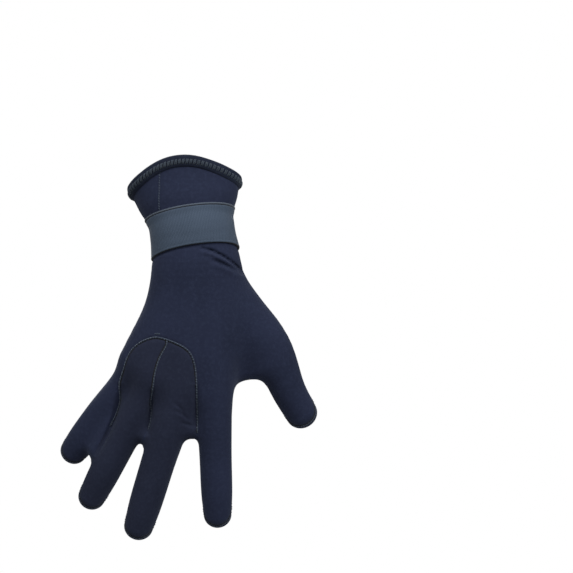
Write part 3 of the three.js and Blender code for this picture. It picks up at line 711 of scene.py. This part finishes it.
def seam_gap(points, line, batch=4000):
    """Distance from each point to the nearest point of a line, a batch of points at a time."""
    near = []
    for first in range(0, len(points), batch):
        some = points[first:first + batch]
        squares = (some**2).sum(1)[:, None] + (line**2).sum(1) - 2 * some @ line.T
        near.append(np.sqrt(np.maximum(squares.min(1), 0)))
    return np.concatenate(near)


def split_skin(vertices, quads):
    """Number of each quad's piece: 0 the hand, 1 the middle finger's panel, 2 the ring finger's, and -1
    above the wrist. Vertices on a border between two pieces are drawn onto it."""
    fields = [
        lambda points, level: panel_depth(points, MIDDLE_OUTLINE, level),
        lambda points, level: panel_depth(points, RING_OUTLINE, level),
        lambda points, level: forearm_height(points),
    ]
    step = 0.05
    vertices = vertices.copy()
    centres = vertices[quads].mean(1)
    level = side_level(centres)
    marks = [field(centres, level) > 0 for field in fields]
    piece = np.where(marks[2], -1, np.where(marks[0], 1, np.where(marks[1], 2, 0)))
    least = np.full(len(vertices), 9)
    most = np.full(len(vertices), -9)
    np.minimum.at(least, quads, piece[:, None])
    np.maximum.at(most, quads, piece[:, None])
    for field, lower, upper in ((fields[0], 0, 1), (fields[1], 0, 2), (fields[0], 1, 2), (fields[2], -1, 0)):
        border = (least == lower) & (most == upper)
        some = vertices[border]
        here = field(some, side_level(some))
        moved = [some + step * axis for axis in np.eye(3)]
        slope = np.stack([(field(points, side_level(points)) - here) / step for points in moved], 1)
        move = np.clip(-here / np.maximum((slope**2).sum(1), 0.2), -0.9, 0.9)
        vertices[border] = some + move[:, None] * slope
    return vertices, piece


skin, skin_piece = split_skin(skin, skin_quads)
skin_normal = unit(skin_slope(skin)[1])
# dips along the seams and along the band's lower edge, and a swell below it on the little finger's side:
# depth, height on the forearm, half width
SEAM_DIP, SEAM_HALF = 0.65, 1.3
BAND_DIP, BAND_EDGE = 0.5, -14.8
WRIST_SWELL, WRIST_HEIGHT, WRIST_HALF = 1.5, -26, 13
height = forearm_height(skin)
dip = SEAM_DIP * np.exp(-((seam_gap(skin, seam_points) / SEAM_HALF) ** 2))
dip += BAND_DIP * np.exp(-((height - BAND_EDGE) ** 2))
swell = WRIST_SWELL * np.exp(-(((height - WRIST_HEIGHT) / WRIST_HALF) ** 2))
skin = skin - skin_normal * (dip - swell * np.clip(-skin_normal[:, 0], 0, 1))[:, None]
lining, lining_piece = split_skin(lining, lining_quads)


def kept_part(vertices, quads, keep):
    """The kept quads, with only the vertices that they use."""
    used, index = np.unique(quads[keep], return_inverse=True)
    return vertices[used], index.reshape(-1, quads.shape[1])


def maths(tree, operation, *values):
    """One sum in a node tree, of sockets or numbers."""
    made = tree.nodes.new("ShaderNodeMath")
    made.operation = operation
    set_inputs(made, dict(enumerate(values)))
    return made.outputs[0]


KNIT_PITCH = 0.9


def jersey_height(tree, coordinates):
    """Height of a knitted nylon face on one plane: columns of stitches whose legs lean together in a V,
    sin(2 pi a) squared times (1 + cos(2 pi (b + 0.6 |2 frac(a) - 1|))) / 2, with a and b in stitches."""
    a, b = (maths(tree, "MULTIPLY", axis, 1000 / KNIT_PITCH) for axis in coordinates)
    leg = maths(tree, "ABSOLUTE", maths(tree, "MULTIPLY_ADD", maths(tree, "FRACT", a), 2.0, -1.0))
    course = maths(tree, "MULTIPLY_ADD", leg, 0.6, b)
    turn = maths(tree, "COSINE", maths(tree, "MULTIPLY", course, 2 * math.pi))
    wave = maths(tree, "MULTIPLY_ADD", turn, 0.5, 0.5)
    column = maths(tree, "SINE", maths(tree, "MULTIPLY", a, 2 * math.pi))
    return maths(tree, "MULTIPLY", wave, maths(tree, "MULTIPLY", column, column))


def ramp(tree, source, low_colour, high_colour, low_at=0.3, high_at=0.7):
    """Colour ramp between two colours, driven by a value."""
    made = tree.nodes.new("ShaderNodeValToRGB")
    places = zip(made.color_ramp.elements, (low_at, high_at), (low_colour, high_colour))
    for element, position, colour in places:
        element.position = position
        element.color = (*colour, 1.0)
    set_inputs(made, {0: source})
    return made.outputs[0]


def grey(level):
    """Colour with that level in all three channels."""
    return (level, level, level)


def noise(tree, vector, scale, detail=3.0, roughness=0.55):
    """Noise of that many cells a metre."""
    made = tree.nodes.new("ShaderNodeTexNoise")
    set_inputs(made, {"Vector": vector, "Scale": scale, "Detail": detail, "Roughness": roughness})
    return made.outputs["Fac"]


def mixed(tree, share, first, second):
    """Mix of two colours or values by a share. The second may be a colour of three numbers."""
    made = tree.nodes.new("ShaderNodeMix")
    made.data_type = "RGBA"
    set_inputs(made, {0: share, 6: first, 7: (*second, 1.0) if isinstance(second, tuple) else second})
    return made.outputs[2]


def axes_of(tree, vector):
    """The three parts of a vector."""
    made = tree.nodes.new("ShaderNodeSeparateXYZ")
    set_inputs(made, {0: vector})
    return made.outputs


def facing_share(tree, part, low, high):
    """0 to 1 as a part of the normal, of either sign, goes from low to high."""
    made = tree.nodes.new("ShaderNodeMapRange")
    set_inputs(made, {0: maths(tree, "ABSOLUTE", part), 1: low, 2: high})
    return made.outputs[0]


def bump(tree, height, strength, distance, **below):
    """Relief of a height, on top of another relief where one is given as Normal."""
    made = tree.nodes.new("ShaderNodeBump")
    set_inputs(made, {"Height": height, "Strength": strength, "Distance": distance, **below})
    return made.outputs[0]


def neoprene_finish(name, dark, light, worn):
    """Nylon jersey laminated to foam: two close shades in broad soft patches, a finer mottle and a fuzz
    that is lighter on the crests of the knit, under a dull sheen."""
    made, tree, shader = new_material(name)
    place = tree.nodes.new("ShaderNodeTexCoord").outputs["Object"]
    x, y, z = axes_of(tree, place)
    facing = axes_of(tree, tree.nodes.new("ShaderNodeNewGeometry").outputs["Normal"])
    back_knit, side_knit, end_knit = (jersey_height(tree, pair) for pair in ((x, z), (y, z), (x, y)))
    sides = mixed(tree, facing_share(tree, facing[0], 0.6, 0.8), back_knit, side_knit)
    knit = mixed(tree, facing_share(tree, facing[2], 0.65, 0.85), sides, end_knit)
    patches = ramp(tree, noise(tree, place, 26.0, 2.0), dark, light)
    mottle = noise(tree, place, 420.0, 4.0, 0.7)
    speckled = mixed(tree, ramp(tree, mottle, grey(0.0), grey(0.75), 0.45, 0.75), patches, worn)
    crests = mixed(tree, ramp(tree, knit, grey(0.0), grey(0.35), 0.3, 1.0), speckled, worn)
    rough = bump(tree, noise(tree, place, 130.0, 3.0), 0.35, 0.0006)
    set_inputs(shader, {
        "Base Color": crests, "Roughness": ramp(tree, mottle, grey(0.78), grey(0.92)),
        "Specular IOR Level": 0.13, "Sheen Weight": 0.1, "Sheen Roughness": 0.45,
        "Sheen Tint": (0.55, 0.63, 0.8, 1.0), "Normal": bump(tree, knit, 0.4, 0.00022, Normal=rough),
    })
    return made


shell_neoprene = neoprene_finish(
    "shell_neoprene", (0.015, 0.0198, 0.0435), (0.0195, 0.0252, 0.055), (0.028, 0.0362, 0.071)
)
lining_jersey = neoprene_finish(
    "lining_jersey", (0.012, 0.013, 0.017), (0.018, 0.019, 0.025), (0.03, 0.032, 0.04)
)

hand_skin, hand_faces = kept_part(skin, skin_quads, skin_piece == 0)
hand_lining, lining_faces = kept_part(lining, lining_quads, lining_piece >= 0)
hand = shell_object(
    "hand_neoprene",
    np.vstack([hand_skin, hand_lining]),
    np.vstack([hand_faces, lining_faces + len(hand_skin)]),
    [shell_neoprene, lining_jersey],
    np.repeat([0, 1], [len(hand_faces), len(lining_faces)]),
)
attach(hand, "root")
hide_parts("hand_shell")


# Back panels of the middle and ring fingers: the same neoprene with a slightly duller nylon face, let
# into the back under the arch-shaped seam and run down the backs of the two fingers.
panel_neoprene = neoprene_finish(
    "panel_neoprene", (0.0148, 0.0184, 0.0375), (0.019, 0.0234, 0.0465), (0.027, 0.0335, 0.06)
)
for number, finger in ((1, "middle"), (2, "ring")):
    panel_skin, panel_faces = kept_part(skin, skin_quads, skin_piece == number)
    panel = shell_object(f"{finger}_finger_panel", panel_skin, panel_faces, [panel_neoprene])
    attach(panel, "root")
    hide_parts(f"{finger}_panel")


# Seams: the pieces are butted, glued and blind stitched, so a seam is a narrow groove with the thread's
# ridge along the outer piece's edge, and short ticks of thread across it.
def line_frame(line):
    """Along, outward and side of each point of a line on the skin: side is outward x along."""
    along = unit(np.gradient(line, axis=0))
    rise = skin_slope(line)[1]
    outward = unit(rise - along * (rise * along).sum(1)[:, None])
    return along, outward, np.cross(outward, along)


def ribbon(line, profile):
    """A profile of side and height carried along a line: line + side s + outward h. Returns vertices,
    quads, and a u, v pair in millimetres for each corner."""
    along, outward, side = line_frame(line)
    rows = np.array(profile)
    grid = line[:, None] + side[:, None] * rows[None, :, :1] + outward[:, None] * rows[None, :, 1:]
    n, m = grid.shape[:2]
    number = np.arange(n * m).reshape(n, m)
    quads = np.stack([number[:-1, :-1], number[:-1, 1:], number[1:, 1:], number[1:, :-1]], -1).reshape(-1, 4)
    pattern = np.stack(np.broadcast_arrays(run_along(line)[:, None], run_along(rows)), -1).reshape(-1, 2)
    return grid.reshape(-1, 3), quads, pattern[quads].reshape(-1, 2)


def corner_pattern(low_u, high_u, low_v, high_v):
    """u and v for the four corners of each quad of a grid, from those of its sides."""
    corners = ((low_u, low_v), (high_u, low_v), (high_u, high_v), (low_u, high_v))
    pairs = [np.stack(np.broadcast_arrays(*corner), -1) for corner in corners]
    return np.stack(pairs, -2).reshape(-1, 2)


def tubes(paths, radii, sides):
    """Round strands along many paths at once: path + radius (cos t normal + sin t binormal). Radii taper
    to nothing at a strand's ends, which closes them. Returns vertices, quads and u, v pairs."""
    n, m = paths.shape[:2]
    along = unit(np.gradient(paths, axis=1))
    spare = np.cross(paths[:, -1] - paths[:, 0], np.array([0.31, 0.83, 0.46]))
    first = unit(np.cross(along, spare[:, None]))
    second = np.cross(along, first)
    turn = np.linspace(0, 2 * np.pi, sides, endpoint=False)
    ring = first[:, :, None] * np.cos(turn)[:, None] + second[:, :, None] * np.sin(turn)[:, None]
    grid = paths[:, :, None] + ring * np.broadcast_to(radii, (n, m))[:, :, None, None]
    number = np.arange(n * m * sides).reshape(n, m, sides)
    beside = np.roll(number, -1, 2)
    quads = np.stack([number[:, :-1], beside[:, :-1], beside[:, 1:], number[:, 1:]], -1).reshape(-1, 4)
    run = np.cumsum(np.linalg.norm(np.diff(paths, axis=1, prepend=paths[:, :1]), axis=2), 1)[..., None]
    round_share = np.arange(sides) / sides
    pattern = corner_pattern(round_share, round_share + 1 / sides, run[:, :-1], run[:, 1:])
    return grid.reshape(-1, 3), quads, pattern[:, ::-1]


def joined(parts):
    """Several sets of vertices, quads and u, v pairs as one set."""
    starts = np.cumsum([0] + [len(part[0]) for part in parts[:-1]])
    quads = np.vstack([part[1] + start for part, start in zip(parts, starts)])
    return np.vstack([part[0] for part in parts]), quads, np.vstack([part[2] for part in parts])


def weave_pattern(tree):
    """The u and v that a mesh carries."""
    made = tree.nodes.new("ShaderNodeUVMap")
    made.uv_map = "weave"
    return made.outputs[0]


def thread_finish(name, dark, light, twist):
    """Twisted thread: fine slanted plies along the strand's own u and v, lighter on their crests."""
    made, tree, shader = new_material(name)
    plies = tree.nodes.new("ShaderNodeTexWave")
    plies.wave_type = "BANDS"
    plies.bands_direction = "DIAGONAL"
    vector = weave_pattern(tree)
    set_inputs(plies, {"Vector": vector, "Scale": twist, "Distortion": 0.6, "Detail": 1.0})
    crests = plies.outputs["Fac"]
    set_inputs(shader, {
        "Base Color": ramp(tree, crests, dark, light, 0.2, 0.8), "Roughness": 0.72,
        "Specular IOR Level": 0.3, "Sheen Weight": 0.2, "Sheen Roughness": 0.4,
        "Normal": bump(tree, crests, 0.6, 0.0002),
    })
    return made


seam_thread = thread_finish("seam_thread", (0.06, 0.084, 0.118), (0.12, 0.152, 0.195), 0.9)
seam_lip = thread_finish("seam_lip", (0.024, 0.033, 0.057), (0.04, 0.053, 0.084), 0.9)
# the floor of each seam's groove is near black: a glue line, darkened further as painted shade in the groove
near_black_painted_shade = thread_finish("near_black_painted_shade", (0.004, 0.0045, 0.006), (0.007, 0.0075, 0.01), 0.5)
# side and height of the ridge, then of the groove beside it
RIDGE = ((1.15, -0.6), (0.9, -0.15), (0.65, 0.06), (0.4, 0.12), (0.15, 0.0), (0.0, -0.25))
GROOVE = ((0.0, -0.25), (-0.15, -0.5), (-0.45, -0.5), (-0.8, -0.34), (-1.05, -0.5))


def thread_ticks(line, pitch, middle, half, lean):
    """Short stitches over a line, a pitch apart on a line in steps of LINE_STEP: middle + half t to the
    side, higher in the middle, and lean t along the line, with t from -1 to 1."""
    along, outward, side = line_frame(line)
    spots = np.arange(2, len(line) - 2, pitch / LINE_STEP).astype(int)
    t = np.linspace(-1, 1, 7)[None, :, None]
    centre, way, up = line[spots][:, None], side[spots][:, None], outward[spots][:, None]
    paths = centre + way * (middle + half * t) + up * (0.2 - 0.4 * t**2) + along[spots][:, None] * lean * t
    return tubes(paths, np.array([0.02, 0.17, 0.22, 0.23, 0.22, 0.17, 0.02]), 6)


def seam_piece(name, line, ridge=RIDGE, groove=GROOVE, stitch=(2.0, 0.35, 0.6, 0.25)):
    """Ridge, groove and ticks of thread of one seam. A stitch is pitch, middle, half and lean."""
    parts = [ribbon(line, ridge), ribbon(line, groove), thread_ticks(line, *stitch)]
    vertices, quads, pattern = joined(parts)
    # slots: the ridge, the groove's glue line in near-black painted shade, and the ticks of thread
    slots = np.repeat([0, 1, 2], [len(part[1]) for part in parts])
    made = shell_object(name, vertices, quads, [seam_lip, near_black_painted_shade, seam_thread], slots, pattern)
    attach(made, "root")


seam_piece("arch_seam", arch_seam)
seam_piece("centre_seam", centre_seam)
seam_piece("side_seam", side_seam)
TACK_FROM, TACK_TO, TACK_HEIGHT = -26.8, -20.6, -71.4
tack_line = from_the_back(np.stack([np.linspace(TACK_FROM, TACK_TO, 9), np.full(9, TACK_HEIGHT)], 1))
tack_parts = thread_ticks(tack_line, 0.8, 0.0, 0.75, 0.15)
tack = shell_object("arch_bartack", *tack_parts[:2], [seam_thread])
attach(tack, "root")


# Cuff: one piece of the same neoprene, flared to the mouth, closed by a stitched seam on the back and
# joined to the hand under the elastic band.
MOUTH_SIDE_DROP = 11
MOUTH_THUMB_DROP = 1.9
MOUTH_ROUNDNESS = 2.2
ROUND = 256
angles = np.linspace(0, 2 * np.pi, ROUND, endpoint=False)


def away_from_axis(angle):
    """Unit vectors square to the forearm's axis."""
    return np.cos(angle)[:, None] * FOREARM_ACROSS + np.sin(angle)[:, None] * FOREARM_DEEP


def wall_radius(angle, height, reach=90.0, halvings=18):
    """Radius of the skin round the forearm's axis, by halving the span that holds it."""
    way, centre = away_from_axis(angle), height[:, None] * FOREARM_UP
    near, far = np.zeros(len(angle)), np.full(len(angle), reach)
    for _ in range(halvings):
        middle = (near + far) / 2
        inside = skin_distance(centre + way * middle[:, None]) < 0
        near, far = np.where(inside, middle, near), np.where(inside, far, middle)
    return near


def mouth_height(angle):
    """Height of the cuff's upper edge, lower at the two sides."""
    side = np.cos(angle)
    return CUFF_HEIGHT - MOUTH_SIDE_DROP * np.abs(side) ** MOUTH_ROUNDNESS - MOUTH_THUMB_DROP * side


def forearm_places(angle, height, out):
    """Points round the forearm at an angle, a height, and a distance out from the skin, of one shape."""
    arrays = np.broadcast_arrays(angle, height, out)
    angle, height, out = (array.ravel() for array in arrays)
    radius = wall_radius(angle, height) + out
    places = height[:, None] * FOREARM_UP + away_from_axis(angle) * radius[:, None]
    return places.reshape(*arrays[0].shape, 3)


def ring_shell(places):
    """Quads round a grid of places, row by row round a closed profile and round the forearm, with u in
    millimetres round the forearm and v round the profile."""
    rows, sides = places.shape[:2]
    lower = np.arange(rows * sides).reshape(rows, sides)
    upper = np.roll(lower, -1, 0)
    quads = np.stack([lower, np.roll(lower, -1, 1), np.roll(upper, -1, 1), upper], -1).reshape(-1, 4)
    girth = np.linalg.norm(np.roll(places, -1, 1) - places, axis=2).sum(1).mean()
    u = np.arange(sides + 1) * girth / sides
    rise = np.linalg.norm(np.diff(places, axis=0, append=places[:1]), axis=2).mean(1)
    v = np.concatenate([[0], np.cumsum(rise)])[:, None]
    return places.reshape(-1, 3), quads, corner_pattern(u[:-1], u[1:], v[:-1], v[1:])


# how far the cuff stands out above the band, at what height, and half the height of the swell
CUFF_SWELL, SWELL_HEIGHT, SWELL_HALF = 1.1, 20, 9
CUFF_LEVELS = 40
CLOSING_X, CLOSING_FROM, CLOSING_TO = -21.4, 10, 46


def cuff_swell(height):
    """How far the cuff stands out at a height."""
    return CUFF_SWELL * np.exp(-(((height - SWELL_HEIGHT) / SWELL_HALF) ** 2))


levels = np.linspace(0, 1, CUFF_LEVELS)[:, None]
top = mouth_height(angles)
outer_up = -1.0 + (top + 1.0) * levels
outer_side = forearm_places(angles, outer_up, cuff_swell(outer_up))
inner_side = forearm_places(angles, outer_up[::-1], -WALL)
closing_up = np.linspace(CLOSING_FROM, CLOSING_TO, 60)
closing_seam = even_line(from_the_back(np.stack([0 * closing_up + CLOSING_X, closing_up], 1)), 0.6, 1)
closing_gap = seam_gap(outer_side.reshape(-1, 3), closing_seam).reshape(CUFF_LEVELS, ROUND)
# the wall dips along the closing seam, and waves a little more towards the mouth
dent = 0.35 * np.exp(-((closing_gap / 1.1) ** 2)) + 0.12 * np.sin(5 * angles + 9 * levels) * levels
outer_side = outer_side - unit(outer_side) * dent[:, :, None]
closing_swell = cuff_swell(forearm_height(closing_seam))[:, None]
closing_seam = closing_seam + line_frame(closing_seam)[1] * closing_swell
cuff_parts = ring_shell(np.concatenate([outer_side, inner_side]))
slots = np.repeat([0, 1], CUFF_LEVELS * ROUND)
cuff = shell_object("cuff_neoprene", *cuff_parts[:2], [shell_neoprene, lining_jersey], slots)
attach(cuff, "root")
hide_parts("cuff")
# its groove is the same near-black glue line and painted shade
closing_ridge = ((0.4, -0.5), (0.25, -0.3), (0.1, -0.2), (0.0, -0.25))
closing_groove = ((0.0, -0.25), (-0.15, -0.35), (-0.5, -0.33), (-0.8, -0.5))
seam_piece("closing_seam", closing_seam, closing_ridge, closing_groove, (2.4, 0.75, 0.6, 0.55))


# Wrist band: woven elastic 28 mm high, drawn tight round the joint of hand and cuff and sewn to them,
# ribbed from edge to edge, with a firmer selvedge along each side.
# height from the middle, distance out from the skin
BAND_ROWS = (
    (-13.8, -0.3), (-14.1, 0.4), (-14.1, 1.15), (-13.7, 1.6), (-13.0, 1.65), (-12.5, 1.55), (-12.0, 1.6),
    (-8.0, 1.65), (-4.0, 1.65), (0.0, 1.65), (4.0, 1.65), (8.0, 1.65), (12.2, 1.6), (12.65, 1.3),
    (13.0, 1.55), (13.5, 1.75), (14.0, 1.55), (14.2, 0.9), (13.9, -0.3), (0.0, -0.3),
)
BAND_SIDES = 384
# heights from which the rows are near-black painted shade in the groove under the upper selvedge, then
# thread, and up to which they are near-black painted shadow along the band's lower edge
UPPER_PAINTED_SHADE, UPPER_THREAD, LOWER_PAINTED_SHADOW = 12.5, 12.95, -13.85
rows = smooth_line(np.array(BAND_ROWS + BAND_ROWS[:1]), 3)[:-1]
row_height = ((rows + np.roll(rows, -1, 0)) / 2)[:, 0]
zones = [row_height > UPPER_THREAD, row_height > UPPER_PAINTED_SHADE, row_height < LOWER_PAINTED_SHADOW]
row_slots = np.select(zones, [1, 2, 2])
band_angles = np.linspace(0, 2 * np.pi, BAND_SIDES, endpoint=False)
band_places = forearm_places(band_angles, rows[:, :1], rows[:, 1:2])


RIB_PITCH = 1.3


def webbing_finish(name, dark, light, thread):
    """Woven elastic: ribs that run from edge to edge, crossed by fine picks, on its own u
    and v in millimetres, with a lighter thread on the crests of the weave."""
    made, tree, shader = new_material(name)
    u, v, _ = axes_of(tree, weave_pattern(tree))
    rib = maths(tree, "ABSOLUTE", maths(tree, "SINE", maths(tree, "MULTIPLY", u, math.pi / RIB_PITCH)))
    lean = maths(tree, "MULTIPLY_ADD", u, 2.4, maths(tree, "MULTIPLY", v, 4.4))
    pick = maths(tree, "ABSOLUTE", maths(tree, "SINE", lean))
    weave = maths(tree, "MULTIPLY", maths(tree, "ADD", rib, pick), 0.5)
    place = tree.nodes.new("ShaderNodeTexCoord").outputs["Object"]
    patches = ramp(tree, noise(tree, place, 60.0, 3.0), dark, light)
    threads = mixed(tree, ramp(tree, weave, grey(0.0), grey(0.75), 0.4, 0.95), patches, thread)
    set_inputs(shader, {
        "Base Color": threads, "Roughness": 0.75, "Specular IOR Level": 0.25, "Sheen Weight": 0.15,
        "Sheen Roughness": 0.4, "Normal": bump(tree, weave, 0.7, 0.0003),
    })
    return made


elastic_webbing = webbing_finish(
    "elastic_webbing", (0.036, 0.054, 0.085), (0.0455, 0.0665, 0.1025), (0.071, 0.1, 0.145)
)
selvedge_thread = thread_finish("selvedge_thread", (0.06, 0.08, 0.112), (0.11, 0.134, 0.172), 1.4)
band_vertices, band_quads, band_pattern = ring_shell(band_places)
band_slots = np.repeat(row_slots, BAND_SIDES)
# the webbing, the upper selvedge's lighter thread, and the near-black painted shade and shadow
band_finishes = [elastic_webbing, selvedge_thread, near_black_painted_shade]
band = shell_object("wrist_band_webbing", band_vertices, band_quads, band_finishes, band_slots, band_pattern)
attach(band, "root")
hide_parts("wrist_band")


# Mouth edging: the cuff's upper edge is rolled over and held by an overlock seam. The roll is smooth on
# top, and pairs of yarn loops stand out on its lower half about every 3.3 mm.
# distance out from the skin, height above the cuff's edge
ROLL_ROWS = np.array([
    (0.2, -6.9), (0.9, -6.6), (1.35, -5.9), (1.5, -4.6), (1.6, -2.6), (1.55, -0.8), (0.9, 0.9), (-0.2, 1.6),
    (-1.25, 1.8), (-2.3, 1.6), (-3.4, 0.9), (-4.0, -0.8), (-4.1, -2.6), (-4.0, -4.6), (-3.85, -5.9),
    (-3.4, -6.6), (-2.7, -6.9),
])
# distance out, height and thickness of a loop of yarn
LOOP_ROWS = np.array([
    (1.0, -1.7, 0.1), (1.75, -2.2, 0.42), (2.05, -3.0, 0.5), (2.05, -4.0, 0.5), (1.85, -4.9, 0.44),
    (0.9, -5.7, 0.1),
])
LOOPS = 76
roll_line = smooth_line(ROLL_ROWS, 2)
roll = ring_shell(forearm_places(angles, top + roll_line[:, 1:], roll_line[:, :1]))
pitch = 2 * np.pi / LOOPS
loop_out, loop_up, loop_radius = smooth_line(LOOP_ROWS, 2).T
slant = np.linspace(0.3, -0.3, len(loop_up)) * pitch
strand_parts = []
for strand in (-0.17, 0.17):
    turn = np.linspace(0, 2 * np.pi, LOOPS, endpoint=False)[:, None] + strand * pitch + slant
    for out in (loop_out, -WALL - loop_out):
        paths = forearm_places(turn, mouth_height(turn) + loop_up, out)
        strand_parts.append(tubes(paths, loop_radius, 6))
edging_yarn = thread_finish("edging_yarn", (0.012, 0.018, 0.028), (0.046, 0.065, 0.092), 1.1)
# the roll: the cuff's neoprene made about half as light, as painted shade over the roll and between the
# loops of yarn
roll_neoprene_painted_shade = neoprene_finish(
    "roll_neoprene_painted_shade", (0.0085, 0.012, 0.025), (0.0115, 0.016, 0.032), (0.018, 0.024, 0.042)
)
vertices, quads, pattern = joined([roll, *strand_parts])
slots = np.repeat([1, 0], [len(roll[1]), len(quads) - len(roll[1])])
edging = shell_object("mouth_overlock", vertices, quads, [edging_yarn, roll_neoprene_painted_shade], slots, pattern)
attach(edging, "root")
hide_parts("mouth_edging")
